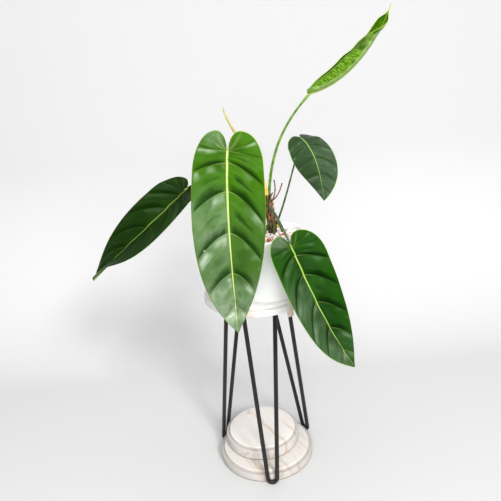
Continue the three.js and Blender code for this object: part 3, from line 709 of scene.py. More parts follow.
def tube_piece(name, points, radius_at, sides, steps, finish):
    # A round closed tube along a curve; radius_at takes the share along and the angle
    t = np.linspace(0, 1, steps + 1)
    middle = bezier(points, t)
    tangent = unit(np.gradient(middle, axis=0))
    side = unit(np.cross(tangent[0], (0.3, 1.0, 0.2)))
    normals = []
    for way in tangent:
        side = unit(side - way * np.dot(side, way))
        normals.append(side)
    normals = np.array(normals)
    angle = np.linspace(0, 2 * np.pi, sides, endpoint=False)
    radius = radius_at(t[:, None], angle[None, :]) * np.ones((steps + 1, sides))
    ring = middle[:, None] + radius[..., None] * (
        np.cos(angle)[None, :, None] * normals[:, None]
        + np.sin(angle)[None, :, None] * np.cross(tangent, normals)[:, None])
    first = (steps + 1) * sides
    faces = []
    for k in range(sides):
        after = (k + 1) % sides
        for i in range(0, steps * sides, sides):
            faces.append((i + k, i + after, i + sides + after, i + sides + k))
        faces.append((first, after, k))
        faces.append((first + 1, steps * sides + k, steps * sides + after))
    piece = mesh_piece(name, np.concatenate([ring.reshape(-1, 3), middle[:1], middle[-1:]]), faces, finish)
    mark(piece, "along", np.concatenate([np.repeat(t, sides), [0, 1]]))
    return piece


bark_finish, bark_shader, bark_place = new_finish("fibrous_bark")
bark_streaks = noise(vector("MULTIPLY", bark_place, (420, 420, 70)), 1.0, 5.0, 0.65)
bark_brown = toned(bark_streaks, 0.40, 0.62, (0.030, 0.016, 0.008), (0.32, 0.13, 0.060))
bark_green = toned(bark_streaks, 0.40, 0.62, (0.018, 0.022, 0.008), (0.10, 0.10, 0.035))
bark_low = toned(axis(bark_place, "Z"), 0.572, 0.592, bark_green, bark_brown)
dress(bark_shader, toned(noise(bark_place, 75.0, 3.0), 0.5, 0.64, bark_low, bark_green), 0.85,
      (bark_streaks, 0.8, 0.0012))


def stem_radius(t, angle):
    rings = np.abs(np.sin(t * 9 * np.pi))
    narrowing = 1 - 0.28 * np.maximum(0, t - 0.75) / 0.25
    ripples = 0.35 * np.sin(7 * angle + 9 * t) + 0.2 * np.sin(13 * angle - 20 * t)
    return STEM_RADIUS * narrowing + 0.9 * rings + ripples - 0.3


def root_radius(start, end, knob=0.0):
    return lambda t, angle: (start + (end - start) * t + knob * smooth_step(t, 0.9, 0.97)
                             + 0.12 * np.sin(31 * t + 2 * np.sin(angle)))


stem_parts = [tube_piece("stem_trunk", STEM, stem_radius, 40, 90, bark_finish)]
for root_path in AIR_ROOTS:
    stem_parts.append(tube_piece(
        "air_root", root_path, root_radius(ROOT_RADIUS, 1.15, 0.35), 12, 36, bark_finish))
for root_path in PROP_ROOTS:
    stem_parts.append(tube_piece(
        "prop_root", root_path, root_radius(ROOT_RADIUS * 1.6, ROOT_RADIUS), 12, 30, bark_finish))

flake_finish, flake_shader, flake_place = new_finish("torn_sheath")
flake_tone = attribute(flake_place.tree, "flake_tone")
flake_warm = blended(flake_tone, (0.09, 0.035, 0.015), (0.55, 0.27, 0.16))
flake_specks = noise(flake_place, 600.0, 3.0)
dress(flake_shader, toned(flake_specks, 0.4, 0.7, flake_warm, (0.20, 0.11, 0.05)), 0.8,
      (flake_specks, 0.5, 0.0005))

flake_tree, flake_in, flake_out = new_tree("sheath_flakes", "GeometryNodeTree", {
    "Geometry": "Geometry", "Density": 60000.0, "Spacing": 0.002, "Length": 0.004, "Lift": 0.6, "Seed": 5,
    "Finish": "Material"}, ("Geometry",))
flake_points = strewn(flake_in)
flake_ball = put(flake_tree, "GeometryNodeMeshUVSphere", {"Segments": 6, "Rings": 5, "Radius": 1.0})
flake_shape = put(flake_tree, "GeometryNodeTransform", {
    "Geometry": flake_ball, "Scale": (0.14, 0.32, 1.0), "Translation": (0, 0, 0.7)})
flake_random = drawn((-0.5, -1.0, 0.0), (0.5, 1.0, 1.0), flake_in["Seed"])
flake_upright = put(flake_tree, "ShaderNodeCombineXYZ", {
    "X": axis(flake_random, "X"), "Y": axis(flake_random, "X") * -0.7, "Z": 1.0})
flake_normal = flake_points.part("Normal")
flake_turn = put(flake_tree, "FunctionNodeAxesToRotation", {
    "Primary Axis": vector("ADD", flake_upright, scaled(flake_normal, flake_in["Lift"])),
    "Secondary Axis": flake_normal}, primary_axis="Z", secondary_axis="X")
flake_copies = put(flake_tree, "GeometryNodeInstanceOnPoints", {
    "Points": flake_points, "Instance": flake_shape, "Rotation": flake_turn,
    "Scale": flake_in["Length"] * (axis(flake_random, "Z") * 0.55 + 0.45)})
close_tree(numbered(flake_copies, "flake_tone", abs(axis(flake_random, "Y"))), flake_in["Finish"], flake_out)
flake_base = tube_piece(
    "flake_base", FLAKED_STRETCH, lambda t, angle: STEM_RADIUS + 0.2 - 2 * t, 24, 20, bark_finish)
stem_parts.append(grown("torn_flakes", flake_base, flake_tree, {"Finish": flake_finish}))
stem_piece = joined_pieces("ringed_stem", stem_parts)
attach(stem_piece, "root")
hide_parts("stem")

# Leaves. Each blade is heart-shaped and leathery, under a millimetre thick, glossy above, with a
# pale midrib, side veins that sweep towards the tip, and the skin swollen between them. It
# hangs from its own stalk, which clasps the stem.
OUTLINE = [
    (0, 0), (-0.07, 0.11), (-0.10, 0.34), (-0.07, 0.69), (0.02, 0.93), (0.17, 1.0),
    (0.39, 1.02), (0.61, 0.91), (0.78, 0.66), (0.91, 0.32), (1, 0),
]
VEINS = len(OUTLINE) - 1
VEIN_SWEEP = 0.75
VEIN_CURVE = 1.6
SWELL_LATE = 2.2
SWELL_WIDE = 0.6
LOBE_REACH = (-0.1, 0.12)
BLADE_THICK = 0.8
ROWS_PER_VEIN = 16
BLADE_COLUMNS = 44
SCARRED_HALF = 63.0
SCARRED_LENGTH = 345.0

# Rib and stalk are curves, and face is where a blade looks at its base and at its tip. Halves
# give the right and the left half's width, the shift of its margin and its flare. Slides move
# the swellings of a half along its edge.
LEAVES = {
    "front": {
        "rib": [(-31, -189, 759), (-43, -206, 652), (-40, -207, 539), (-40, -199, 424)],
        "face": [(-0.1, -0.97, 0.21), (0.32, -0.94, 0.09)],
        "halves": [(64.5, -0.03, 0.08), (62.6, 0.02, 0.02)],
        "fold": 0, "arch": 7.6, "quilt": 5.5, "lobe_bend": 12,
        "slides": (0.025, -0.035), "stalk_radius": (3.2, 2.4),
        "stalk": [(31, -17, 624), (16, -72, 698), (-8, -140, 742), (-31, -188, 758)],
    },
    "left": {
        "rib": [(-125, -65, 671), (-182, -104, 625), (-254, -96, 572), (-309, -140, 526)],
        "face": [(-0.7, -0.63, 0.33), (-0.93, -0.35, 0.07)],
        "halves": [(67.8, 0.09, 0.43), (60, 0.11, -0.21)],
        "fold": 0.27, "arch": 0.9, "quilt": 4.5, "lobe_bend": 5,
        "slides": (0, 0), "stalk_radius": (3, 2.2),
        "stalk": [(31, -8, 632), (-10, -26, 690), (-78, -46, 700), (-125, -64, 672)],
    },
    "right": {
        "rib": [(73, -129, 559), (102, -166, 479), (134, -166, 397), (178, -191, 327)],
        "face": [(0.27, -0.72, 0.64), (0.53, -0.8, 0.29)],
        "halves": [(55.5, 0.02, -0.33), (57.7, 0.04, 0.05)],
        "fold": 0.24, "arch": -0.8, "quilt": 5, "lobe_bend": 5,
        "slides": (0, 0), "stalk_radius": (3, 2),
        "stalk": [(40, -12, 614), (49, -42, 611), (60, -90, 594), (73, -128, 559.5)],
    },
    "small": {
        "rib": [(115, 17, 748), (139, -12, 728), (152, -9, 674), (156, -9, 617)],
        "face": [(0.44, -0.79, 0.42), (-0.43, -0.9, 0.09)],
        "halves": [(42.7, 0.04, 0), (41.5, -0.13, 0.31)],
        "fold": -0.13, "arch": 4.9, "quilt": 2.2, "lobe_bend": 3,
        "slides": (0, 0), "stalk_radius": (2.6, 1.6),
        "stalk": [(47, 2, 562), (62, 4, 578), (92, 14, 668), (115, 18, 747)],
    },
}


def spline(values, share):
    # A smooth curve through equally spaced values, its ends held
    values = np.asarray(values, float)
    last = len(values) - 1
    place = np.clip(share, 0, 1) * last
    index = np.minimum(place.astype(int), last - 1)
    w = (place - index)[..., None]
    p0, p1, p2, p3 = (values[np.clip(index + k, 0, last)] for k in (-1, 0, 1, 2))
    v0, v1 = (p2 - p0) / 2, (p3 - p1) / 2
    return (2 * p1 - 2 * p2 + v0 + v1) * w ** 3 + (-3 * p1 + 3 * p2 - 2 * v0 - v1) * w ** 2 + v0 * w + p1


def squared_up(facing, tangent):
    # A facing made square to the rib, and the way sideways across the blade
    facing = unit(facing - tangent * (facing * tangent).sum(-1, keepdims=True))
    return facing, np.cross(facing, tangent)


def blade_half(leaf, side, across, draw):
    # Points of one half of the blade's middle sheet, and what its finish has to know
    width, shift, flare = leaf["halves"][0 if side > 0 else 1]
    slide = leaf["slides"][0 if side > 0 else 1]
    share = np.linspace(0, 1, VEINS * ROWS_PER_VEIN + 1)
    x, y = spline(OUTLINE, share + slide * np.sin(np.pi * share)).T
    a = np.clip(x, 0, 1)
    margin_along = x + 4 * shift * a * (1 - a)
    margin_out = y * width * (1 + flare * (x - 0.4))
    even = spline(OUTLINE, share)[:, 0]
    root = np.where(even <= 0, 0, even * (1 - VEIN_SWEEP * (1 - even)))
    along = root[:, None] + (margin_along - root)[:, None] * across[None, :] ** VEIN_CURVE
    out = margin_out[:, None] * across[None, :]
    t = np.clip(along, 0, 1)
    place = bezier(leaf["rib"], t)
    place += 3 * np.minimum(along, 0)[..., None] * np.subtract(leaf["rib"][1], leaf["rib"][0], dtype=float)
    tangent = unit(bezier(leaf["rib"], np.clip(t + 1e-3, 0, 1.001)) - bezier(leaf["rib"], t - 1e-3))
    facing = np.array(leaf["face"][0]) * (1 - t[..., None]) + np.array(leaf["face"][1]) * t[..., None]
    facing, sideways = squared_up(facing, tangent)
    between = (share * VEINS) % 1
    number = np.minimum((share * VEINS).astype(int), VEINS - 1)
    strength = (0.85 + 0.3 * draw.random(VEINS))[number]
    fade = np.maximum(0, np.sin(np.pi * across ** 0.8)) ** SWELL_WIDE
    swell = (strength * np.sin(np.pi * between ** SWELL_LATE))[:, None] * fade[None, :]
    ripple = np.sin(2 * np.pi * (2.5 * between[:, None] + 1.2 * across[None, :] + number[:, None] * 0.37))
    ripple = ripple * (np.sin(np.pi * between)[:, None] * fade[None, :])
    wave = np.sin(2 * np.pi * (2.3 * share[:, None] + 0.2 * side)) * across[None, :] ** 3
    gap = np.abs((share * VEINS) - np.round(share * VEINS))[:, None]
    span = np.linalg.norm(np.gradient(place, axis=0), axis=-1) * ROWS_PER_VEIN
    room = smooth_step(span, 5, 22) * (0.35 + 0.65 * smooth_step(share, 0.34, 0.52))[:, None]
    out_share = out / leaf["halves"][0][0]
    bent_back = 1 - smooth_step(along, *LOBE_REACH)
    height = (leaf["fold"] * out - leaf["arch"] * out_share ** 2 - leaf["lobe_bend"] * bent_back * out_share
              + leaf["quilt"] * (swell * room + 0.06 * (ripple * room)) + 0.8 * wave)
    place += side * out[..., None] * sideways
    return {"place": place + height[..., None] * facing, "facing": facing, "rib_gap": out, "along": t,
            "vein_gap": gap * span, "room": room, "share": share[:, None] + 0 * out}


def blade_mesh(leaf, seed):
    # Both halves as one sheet with two skins, ridged at the rib and grooved at the veins
    draw = np.random.default_rng(seed)
    across = np.linspace(0, 1, BLADE_COLUMNS + 1) ** 1.15
    right = blade_half(leaf, 1, across, draw)
    left = blade_half(leaf, -1, across, draw)
    whole = {key: np.concatenate([left[key][:, :0:-1], right[key]], axis=1) for key in right}
    place, facing, out, t = (whole.pop(key) for key in ("place", "facing", "rib_gap", "along"))
    side = np.concatenate([-across[:0:-1], across])[None, :] + 0 * out
    edge_gap = np.linalg.norm(place - np.where(side[..., None] < 0, place[:, :1], place[:, -1:]), axis=-1)
    whole.update(rib_gap=out, along=t, side=side, edge_gap=edge_gap)
    ridge = np.exp(-(out / (1.9 - 1.35 * t)) ** 2)
    clear = smooth_step(out, 1.0, 4.0) * smooth_step(edge_gap, 2, 10)
    groove = np.exp(-(whole["vein_gap"] / 0.9) ** 2) * clear
    thin = BLADE_THICK / 2 * (0.35 + 0.65 * smooth_step(edge_gap, 0.0, 1.6))
    upper = place + (thin + 0.35 * ridge - 0.3 * groove)[..., None] * facing
    lower = place - (thin + (2.2 - 1.9 * t) * ridge + 0.35 * groove)[..., None] * facing
    return whole, upper, lower


def sheet_faces(rows, columns):
    # Faces of an upper and a lower grid of points and of the rim that joins them
    faces = []
    half = rows * columns
    for i in range(rows - 1):
        for j in range(columns - 1):
            a, b = i * columns + j, (i + 1) * columns + j
            faces.append((a, b, b + 1, a + 1))
            faces.append((half + a, half + a + 1, half + b + 1, half + b))
        a, b = i * columns, (i + 1) * columns
        faces.append((a, half + a, half + b, b))
        a, b = a + columns - 1, b + columns - 1
        faces.append((a, b, half + b, half + a))
    for j in range(columns - 1):
        faces.append((j, j + 1, half + j + 1, half + j))
        end = (rows - 1) * columns + j
        faces.append((end + 1, end, half + end, half + end + 1))
    return faces


def merged(piece, distance):
    bm = bmesh.new()
    bm.from_mesh(piece.data)
    bmesh.ops.remove_doubles(bm, verts=bm.verts, dist=distance * MM)
    bmesh.ops.dissolve_degenerate(bm, edges=bm.edges, dist=distance * MM)
    bmesh.ops.recalc_face_normals(bm, faces=bm.faces)
    bm.to_mesh(piece.data)
    bm.free()
    piece.data.shade_smooth()


def blade_piece(name, whole, upper, lower, finish):
    rows, columns = upper.shape[:2]
    points = np.concatenate([upper.reshape(-1, 3), lower.reshape(-1, 3)])
    piece = mesh_piece(name, points, sheet_faces(rows, columns), finish)
    for label in ("rib_gap", "vein_gap", "edge_gap", "room", "side", "along", "share"):
        mark(piece, label, np.tile(whole[label].reshape(-1), 2))
    mark(piece, "underside", np.repeat([0, 1], rows * columns))
    merged(piece, 0.02)
    return piece


SKIN_MEASURES = ("Rib Gap", "Vein Gap", "Edge Gap", "Room", "Along", "Side", "Share", "Underside")
SKIN_COLOURS = ("Skin Green", "Low Green", "Deep Green", "Veil", "Rib Yellow", "Edge Yellow")
SKIN_NUMBERS = ("Bands", "Veil Left", "Veil Right", "Veil Tip", "Gleam", "Lobe Gleam", "Vein Strength",
                "Edge Width", "Rib Width", "Scar Side")
skin, skin_in, skin_out = new_tree("leaf_skin", "ShaderNodeTree", {
    "Position": "Vector", **dict.fromkeys(SKIN_MEASURES, "Float"), **dict.fromkeys(SKIN_COLOURS, "Color"),
    **dict.fromkeys(SKIN_NUMBERS, 0.0), "Scar Along": 2.0}, ("Color", "Roughness", "Height"))
skin_along, skin_side, skin_share = skin_in["Along"], skin_in["Side"], skin_in["Share"]
skin_clouds = noise(skin_in["Position"], 45.0, 4.0, 0.55)
slow_clouds = noise(skin_in["Position"], 26.0, 1.0)
skin_cells = noise(skin_in["Position"], 1400.0, 2.0)
vein_count = skin_share * float(VEINS)
skin_streaks = noise(put(skin, "ShaderNodeCombineXYZ", {
    "X": vein_count * 5.0, "Y": skin_side * 2.2, "Z": skin_along}), 1.0, 3.0)
half_share = abs(skin_side)
left_half = spread(skin_side, 0.04, -0.04)
on_half = spread(half_share, 0.02, 0.16) * spread(half_share, 1.0, 0.88)
between = vein_count.reckon("FRACT")
wander = (skin_streaks - 0.5) * 0.3
shifted = between + wander

# The deep green is painted shade above each vein and in a small crease between veins, and darkens some
# patches
above_vein = spread(shifted - abs(half_share - 0.45) * 0.3, 0.52, 0.88) ** 1.7 * spread(between, 1.0, 0.97)
room_left = skin_in["Room"] * spread(skin_along, 0.68, 0.85, 1.0, 0.2)
band = above_vein * on_half * room_left
fold_reach = spread(half_share, 0.1, 0.3) * spread(half_share, 0.8, 0.5)
fold_line = spread(abs(between - 0.5 + wander), 0.13, 0.0) * fold_reach
fold_share = spread(slow_clouds, 0.41, 0.55) * room_left
fold_shade = fold_line * fold_share * spread(skin_side, -0.04, 0.04, 0.5, 0.95)
shade = (band + fold_shade).reckon("MINIMUM", 1.0)
patch = spread(slow_clouds, 0.56, 0.4) * spread(half_share, 0.85, 0.35, 0.0, 0.45)
skin_even = toned(skin_along, 0.12, 0.6, skin_in["Skin Green"], skin_in["Low Green"])
skin_green = blended(shade.most(patch) * skin_in["Bands"], skin_even, skin_in["Deep Green"])

# The pale sheen is painted reflection of the sky in the wax: by halves, at the tip, under each vein and on
# the lobe
sheen_half = left_half * skin_in["Veil Left"] + (1.0 - left_half) * skin_in["Veil Right"]
sheen_course = spread(skin_along, 0.10, 0.40, 0.05, 1.0) * spread(skin_along, 0.42, 0.6, 1.0, 0.62)
sheen_tip = spread(skin_along, 0.62, 0.95) * skin_in["Veil Tip"]
# Painted highlights: just under each vein, and at the top of the left lobe
under_vein = spread(shifted, 0.0, 0.1) * spread(shifted, 0.4, 0.1)
gleam_reach = left_half.most(spread(half_share, 0.35, 0.75))
gleam = under_vein * gleam_reach * (skin_in["Gleam"] * on_half * spread(slow_clouds, 0.42, 0.6))
lobe_bulge = spread(skin_share, 0.08, 0.2) * spread(skin_share, 0.42, 0.26)
lobe_top = spread(skin_along, 0.06, -0.04) * lobe_bulge
lobe_gleam = left_half * skin_in["Lobe Gleam"] * (lobe_top * spread(half_share, 0.2, 0.6))
sheen_even = (sheen_half * sheen_course + sheen_tip) * (1.1 - shade * 0.95)
sheen_clouds = spread(skin_clouds, 0.3, 0.7, 0.7, 1.3) * spread(skin_streaks, 0.3, 0.7, 1.25, 0.75)
skin_sheened = blended((sheen_even + (gleam + lobe_gleam)) * sheen_clouds, skin_green, skin_in["Veil"])

vein_share = skin_in["Vein Strength"] * spread(skin_in["Rib Gap"], 32.0, 3.0, 0.12, 1.0)
vein_room = spread(skin_in["Room"], 0.0, 0.9, 0.35, 1.0)
vein_line = spread(skin_in["Vein Gap"], 0.9, 0.15) * (vein_share * vein_room)
skin_veined = blended(vein_line, skin_sheened, skin_in["Rib Yellow"])
edge_share = skin_in["Edge Gap"] / skin_in["Edge Width"]
skin_edged = toned(edge_share, 1.3, 0.5, skin_veined, skin_in["Edge Yellow"])
rib_half = skin_in["Rib Width"] * spread(skin_along, 0.0, 1.0, 1.0, 0.3)
skin_ribbed = toned(skin_in["Rib Gap"] / rib_half, 1.15, 0.75, skin_edged, skin_in["Rib Yellow"])
scar_out = (skin_side - skin_in["Scar Side"]) * SCARRED_HALF
scar_down = (skin_along - skin_in["Scar Along"]) * SCARRED_LENGTH
scar_gap = (abs(scar_out) ** 2.0 + abs(scar_down) ** 2.0).reckon("SQRT")
scar = spread(scar_gap + skin_cells * 3.0, 3.6, 2.2, 0.0, 0.8)
skin_scarred = blended(scar, skin_ribbed, (0.40, 0.47, 0.34))
feed(skin_out["Color"], blended(skin_in["Underside"] * 0.45, skin_scarred, (0.20, 0.32, 0.11)))
feed(skin_out["Roughness"], spread(skin_clouds, 0.3, 0.7, 0.28, 0.4))
feed(skin_out["Height"], skin_streaks + skin_cells * 0.12)


def leaf_finish(name, colours, shine):
    finish, shader, place = new_finish(name)
    measures = {label: attribute(place.tree, label.lower().replace(" ", "_")) for label in SKIN_MEASURES}
    mixed = put(place.tree, "ShaderNodeGroup", {"Position": place, **measures, **colours}, node_tree=skin)
    dress(shader, mixed.part("Color"), mixed.part("Roughness"), (mixed.part("Height"), 0.8, 0.0035), shine)
    return finish


def stalk_skin(name, dark, light):
    finish, shader, place = new_finish(name)
    clouds = noise(place, 90.0, 4.0)
    green = toned(clouds, 0.35, 0.65, dark, light)
    dress(shader, toned(attribute(place.tree, "along"), 0.93, 0.99, green, (0.20, 0.29, 0.05)), 0.42,
          (clouds, 0.3, 0.0006), 0.3)
    return finish


def stalk_radius(start, end):
    # A stalk clasps the stem at its foot and swells into a joint below the blade
    def radius_at(t, angle):
        clasp = 0.35 * start * (1 - smooth_step(t, 0.0, 0.07))
        joint = 0.28 * end * smooth_step(t, 0.90, 0.94)
        groove = -0.12 * end * np.maximum(0, np.cos(angle)) ** 6
        return start + (end - start) * t + clasp + joint + groove
    return radius_at


# Deep green is the painted shade, and the sheen and gleam are the painted reflection and highlights of each
# leaf
LEAF_COLOURS = {
    "front": {
        "Skin Green": (0.031, 0.104, 0.0008), "Low Green": (0.032, 0.086, 0.008),
        "Deep Green": (0.005, 0.029, 0.0001), "Veil": (0.62, 0.70, 0.58),
        "Rib Yellow": (0.38, 0.46, 0.15), "Edge Yellow": (0.20, 0.34, 0.03),
        "Bands": 1.0, "Veil Left": 0.08, "Veil Right": 0.006, "Veil Tip": 0.14, "Gleam": 0.21,
        "Lobe Gleam": 0.15, "Vein Strength": 0.45, "Edge Width": 1.1, "Rib Width": 2.0,
        "Scar Side": -0.76, "Scar Along": 0.515,
    },
    "left": {
        "Skin Green": (0.007, 0.026, 0.001), "Low Green": (0.006, 0.022, 0.001),
        "Deep Green": (0.002, 0.009, 0.0003), "Veil": (0.50, 0.56, 0.46),
        "Rib Yellow": (0.12, 0.20, 0.04), "Edge Yellow": (0.05, 0.11, 0.01),
        "Bands": 0.8, "Gleam": 0.03, "Vein Strength": 0.2, "Edge Width": 0.8, "Rib Width": 1.6,
    },
    "right": {
        "Skin Green": (0.0075, 0.045, 0.0006), "Low Green": (0.0065, 0.040, 0.0012),
        "Deep Green": (0.0015, 0.012, 0.0002), "Veil": (0.55, 0.64, 0.50),
        "Rib Yellow": (0.25, 0.36, 0.07), "Edge Yellow": (0.16, 0.30, 0.01),
        "Bands": 1.0, "Veil Left": 0.050, "Veil Tip": 0.02, "Gleam": 0.08, "Lobe Gleam": 0.15,
        "Vein Strength": 0.35, "Edge Width": 1.0, "Rib Width": 1.6,
    },
    "small": {
        "Skin Green": (0.018, 0.042, 0.013), "Low Green": (0.024, 0.050, 0.018),
        "Deep Green": (0.010, 0.028, 0.007), "Veil": (0.50, 0.60, 0.48),
        "Rib Yellow": (0.17, 0.33, 0.06), "Edge Yellow": (0.10, 0.28, 0.01),
        "Bands": 0.4, "Veil Right": 0.02, "Veil Tip": 0.02, "Gleam": 0.08, "Vein Strength": 0.12,
        "Edge Width": 1.1, "Rib Width": 1.1,
    },
}
STALK_GREENS = {
    "front": ((0.03, 0.08, 0.01), (0.08, 0.16, 0.03)),
    "left": ((0.015, 0.04, 0.01), (0.04, 0.08, 0.02)),
    "right": ((0.035, 0.075, 0.035), (0.075, 0.13, 0.06)),
    "small": ((0.02, 0.045, 0.015), (0.06, 0.10, 0.035)),
}
LEAF_SHINE = {"front": 0.10, "left": 0.045, "right": 0.07, "small": 0.14}
FIRST_LEAF_SEED = 40
for leaf_seed, (leaf_name, leaf) in enumerate(LEAVES.items(), FIRST_LEAF_SEED):
    leaf_green = leaf_finish(leaf_name + "_leaf_skin", LEAF_COLOURS[leaf_name], LEAF_SHINE[leaf_name])
    blade = blade_piece(leaf_name + "_leaf_blade", *blade_mesh(leaf, leaf_seed), leaf_green)
    stalk = tube_piece(leaf_name + "_leaf_stalk", leaf["stalk"], stalk_radius(*leaf["stalk_radius"]), 20, 70,
                       stalk_skin(leaf_name + "_leaf_stalk_skin", *STALK_GREENS[leaf_name]))
    for piece in (blade, stalk):
        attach(piece, "root")
        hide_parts("leaf_" + leaf_name)

# Rolled leaf. The youngest blade is still rolled round its own length, its outer skin
# crinkled, and only the tip has turned open and shows its bright inner face.
ROLLED_LEAF = {
    "rib": [(133, 20, 834), (194, 14, 840), (265, 16, 896), (301, 20, 989)],
    "stalk": [(41, -10, 634), (49, -12, 715), (69, 8, 770), (139, 20, 835)], "stalk_radius": (3.2, 2.2),
    "roll_radius": (4.5, 8.5, 11, 12.3, 13.2, 13.8, 11.8, 12.4, 9.5, 9, 7),
    "roll_turn": (2.2, 2.7, 2.9, 2.9, 2.9, 2.9, 2.8, 2.4, 1.8, 1.4, 1),
    "spiral": 0.09, "drip": (0.87, 0.965), "quilt": 1.2, "waves": 12,
}


def rolled_mesh(leaf, rows, half_columns):
    # The blade's two skins, bent round the rib by an angle that shrinks towards the open tip
    t = np.linspace(0, 1, rows + 1)
    across = np.linspace(-1, 1, 2 * half_columns + 1)
    turn = 0.25 - 1.45 * smooth_step(t, 0.72, 0.92)
    direction = np.stack([-0.7 * np.cos(turn), np.sin(turn), 0.7 * np.cos(turn)], axis=-1)
    tangent = unit(bezier(leaf["rib"], t + 1e-3) - bezier(leaf["rib"], t - 1e-3))
    face, sideways = squared_up(direction, tangent)
    closing = smooth_step(t, *leaf["drip"])
    roll = spline(np.array(leaf["roll_radius"])[:, None], t)[:, 0]
    radius = (0.6 + roll * (1 - closing))[:, None] * (1 + leaf["spiral"] * across[None, :])
    angle = across[None, :] * spline(np.array(leaf["roll_turn"])[:, None], t)
    from_rib = np.abs(across)[None, :]
    wave = leaf["waves"] * t[:, None] + from_rib
    bumps = np.sin(np.pi * (wave % 1)) * np.sin(np.pi * from_rib)
    crinkle = leaf["quilt"] * (1 - closing)[:, None] * bumps
    middle = bezier(leaf["rib"], t)
    out = radius * np.abs(angle)
    ridge = np.exp(-(out / (1.9 - 1.3 * t[:, None])) ** 2)
    layers = []
    for lift, depth in ((0.4, 0.0), (-0.4, 1.0)):
        reach_out = radius + crinkle + depth * (2.2 - 1.9 * t[:, None]) * ridge - lift
        layers.append(middle[:, None] + (radius - reach_out * np.cos(angle))[..., None] * face[:, None]
                      + (reach_out * np.sin(angle))[..., None] * sideways[:, None])
    one = np.ones_like(out)
    edge_gap = radius * (1 - from_rib) * np.abs(angle / np.maximum(from_rib, 1e-3))
    whole = {"rib_gap": out, "vein_gap": 10 * one, "edge_gap": edge_gap, "room": one,
             "side": across[None, :] * one, "along": t[:, None] * one, "share": wave / VEINS}
    return whole, *layers


rolled_finish, rolled_shader, rolled_place = new_finish("rolled_leaf_skin")
rolled_along, rolled_side, rolled_share, rolled_under, rolled_rib_gap, rolled_edge_gap = (attribute(
    rolled_place.tree, label) for label in ("along", "side", "share", "underside", "rib_gap", "edge_gap"))
rolled_clouds = noise(rolled_place, 90.0, 3.0)
rolled_folds = noise(put(rolled_place.tree, "ShaderNodeCombineXYZ", {
    "X": rolled_share * 62.0, "Y": rolled_side * 5.0}), 1.0, 3.0, 0.6)
# The crinkled outer skin is painted darker and lighter along its folds, as painted shade and light of the
# crinkles
rolled_crinkle_shading = toned(rolled_folds, 0.36, 0.62, (0.016, 0.066, 0.0006), (0.125, 0.25, 0.009))
rolled_sleek = toned(rolled_clouds, 0.35, 0.65, (0.028, 0.074, 0.004), (0.088, 0.155, 0.020))
rolled_young = toned(rolled_along, 0.58, 0.64, rolled_crinkle_shading, rolled_sleek)
rolled_flank = toned(rolled_clouds, 0.35, 0.65, (0.150, 0.255, 0.062), (0.215, 0.330, 0.095))
rolled_smooth = toned(rolled_along, 0.10, 0.02, rolled_flank, (0.085, 0.170, 0.018))
rolled_outer = toned(rolled_rib_gap, 14.0, 10.0, rolled_young, rolled_smooth)
rolled_inner = toned(rolled_clouds, 0.35, 0.65, (0.020, 0.080, 0.0005), (0.045, 0.130, 0.001))
rolled_body = blended(rolled_under, rolled_inner, rolled_outer)
rolled_rib = rolled_rib_gap / (rolled_under * 2.2 + 0.4)
rolled_ribbed = toned(rolled_rib, 1.2, 0.7, rolled_body, (0.25, 0.37, 0.04))
dress(rolled_shader, toned(rolled_edge_gap, 1.2, 0.5, rolled_ribbed, (0.33, 0.46, 0.05)),
      spread(rolled_clouds, 0.3, 0.7, 0.26, 0.4), (rolled_folds, 0.5, 0.002), 0.12)
rolled = blade_piece("rolled_leaf_blade", *rolled_mesh(ROLLED_LEAF, 288, 60), rolled_finish)
rolled_stalk = tube_piece(
    "rolled_leaf_stalk", ROLLED_LEAF["stalk"], stalk_radius(*ROLLED_LEAF["stalk_radius"]), 20, 80,
    stalk_skin("rolled_leaf_stalk_skin", (0.05, 0.13, 0.01), (0.13, 0.24, 0.025)))
for piece in (rolled, rolled_stalk):
    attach(piece, "root")
    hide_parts("leaf_rolled")

# Spear. The leaf after that is a thin rolled spear, in the papery sheath that it grew from,
# and low on the stem a small side bud swells.
SPEAR = [(35, -19, 641), (32, -20, 715), (-30, -28, 770), (-38, -38, 823)]
SPEAR_RADIUS = 3.4
SPEAR_SHEATH = 1.8
BUD_CENTRE = (57, -6, 571)
BUD_RADIUS = 3.3
BUD_PATH = [(-1, 1, -6), (0, 0, -2), (0, 0, 2), (0.5, 0, 6)]

spear_finish, spear_shader, spear_place = new_finish("papery_spear")
spear_along = attribute(spear_place.tree, "along")
spear_streaks = noise(vector("MULTIPLY", spear_place, (700, 700, 90)), 1.0, 4.0)
spear_green = toned(spear_streaks, 0.35, 0.65, (0.26, 0.30, 0.03), (0.45, 0.42, 0.10))
spear_sheath = toned(spear_streaks, 0.35, 0.65, (0.55, 0.30, 0.05), (0.80, 0.58, 0.20))
spear_red = toned(spear_streaks, 0.4, 0.6, (0.42, 0.17, 0.08), (0.40, 0.33, 0.06))
spear_blush = toned(spear_along, 0.86, 0.66, spear_green, spear_red)
dress(spear_shader, toned(spear_along, 0.22, 0.42, spear_sheath, spear_blush), 0.5,
      (spear_streaks, 0.4, 0.0005))


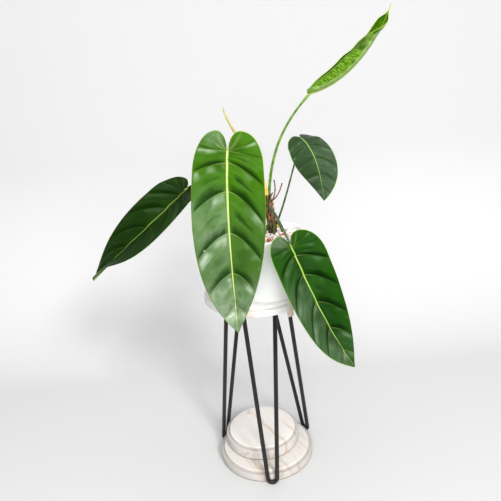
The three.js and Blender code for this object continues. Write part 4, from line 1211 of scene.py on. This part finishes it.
def spear_radius(t, angle):
    body = SPEAR_RADIUS * (1 - 0.86 * t ** 4)
    sheath = SPEAR_SHEATH * (1 - smooth_step(t, 0, 0.3))
    return body + sheath + 0.18 * np.sin(2 * angle + 14 * t)


spear = tube_piece("papery_spear", SPEAR, spear_radius, 24, 90, spear_finish)
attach(spear, "root")
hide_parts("spear")

bud_finish, bud_shader, bud_place = new_finish("bud_skin")
bud_clouds = noise(bud_place, 260.0, 3.0)
dress(bud_shader, toned(bud_clouds, 0.35, 0.65, (0.26, 0.40, 0.02), (0.55, 0.60, 0.06)), 0.4,
      (bud_clouds, 0.3, 0.0004))


def bud_radius(t, angle):
    return 0.2 + BUD_RADIUS * np.sin(np.pi * t) ** 0.7 * (1 - 0.25 * t)


bud = tube_piece("green_bud", np.add(BUD_PATH, BUD_CENTRE), bud_radius, 20, 28, bud_finish)
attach(bud, "root")
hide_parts("side_bud")

# Tag. A bare strip of card, slipped against the edge of the pot's board, where it stands up.
# It keeps clear of the board's solid, whose round edge is made of flats.
TAG = {"wide": 13, "tall": 43, "thick": 0.8, "turn": -58.5, "bottom": 399, "clear": 0.3, "steps": 14}
BOARD_FLATS = 40

card_finish, card_shader, card_place = new_finish("buff_card")
card_fibres = noise(card_place, 700.0, 4.0)
dress(card_shader, toned(card_fibres, 0.35, 0.65, (0.60, 0.50, 0.42), (0.72, 0.63, 0.55)), 0.85,
      (card_fibres, 0.3, 0.0003))

card_columns = np.linspace(-0.5, 0.5, 5) * TAG["wide"]
card_inner = TOP_BOARD["radius"] * math.cos(math.pi / BOARD_FLATS) + TAG["clear"]
card_points = []
for card_depth in (0, TAG["thick"]):
    for card_height in np.linspace(TAG["bottom"], TAG["bottom"] + TAG["tall"], TAG["steps"] + 1):
        for card_across in card_columns:
            card_spot = swung(card_inner + card_depth, card_across, TAG["turn"])
            card_points.append((*np.add(card_spot, TOP_BOARD["centre"]), card_height))
card = mesh_piece("bare_card", card_points, sheet_faces(TAG["steps"] + 1, 5), card_finish, smooth=False)
merged(card, 0.001)
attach(card, "root")
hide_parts("edge_tag")
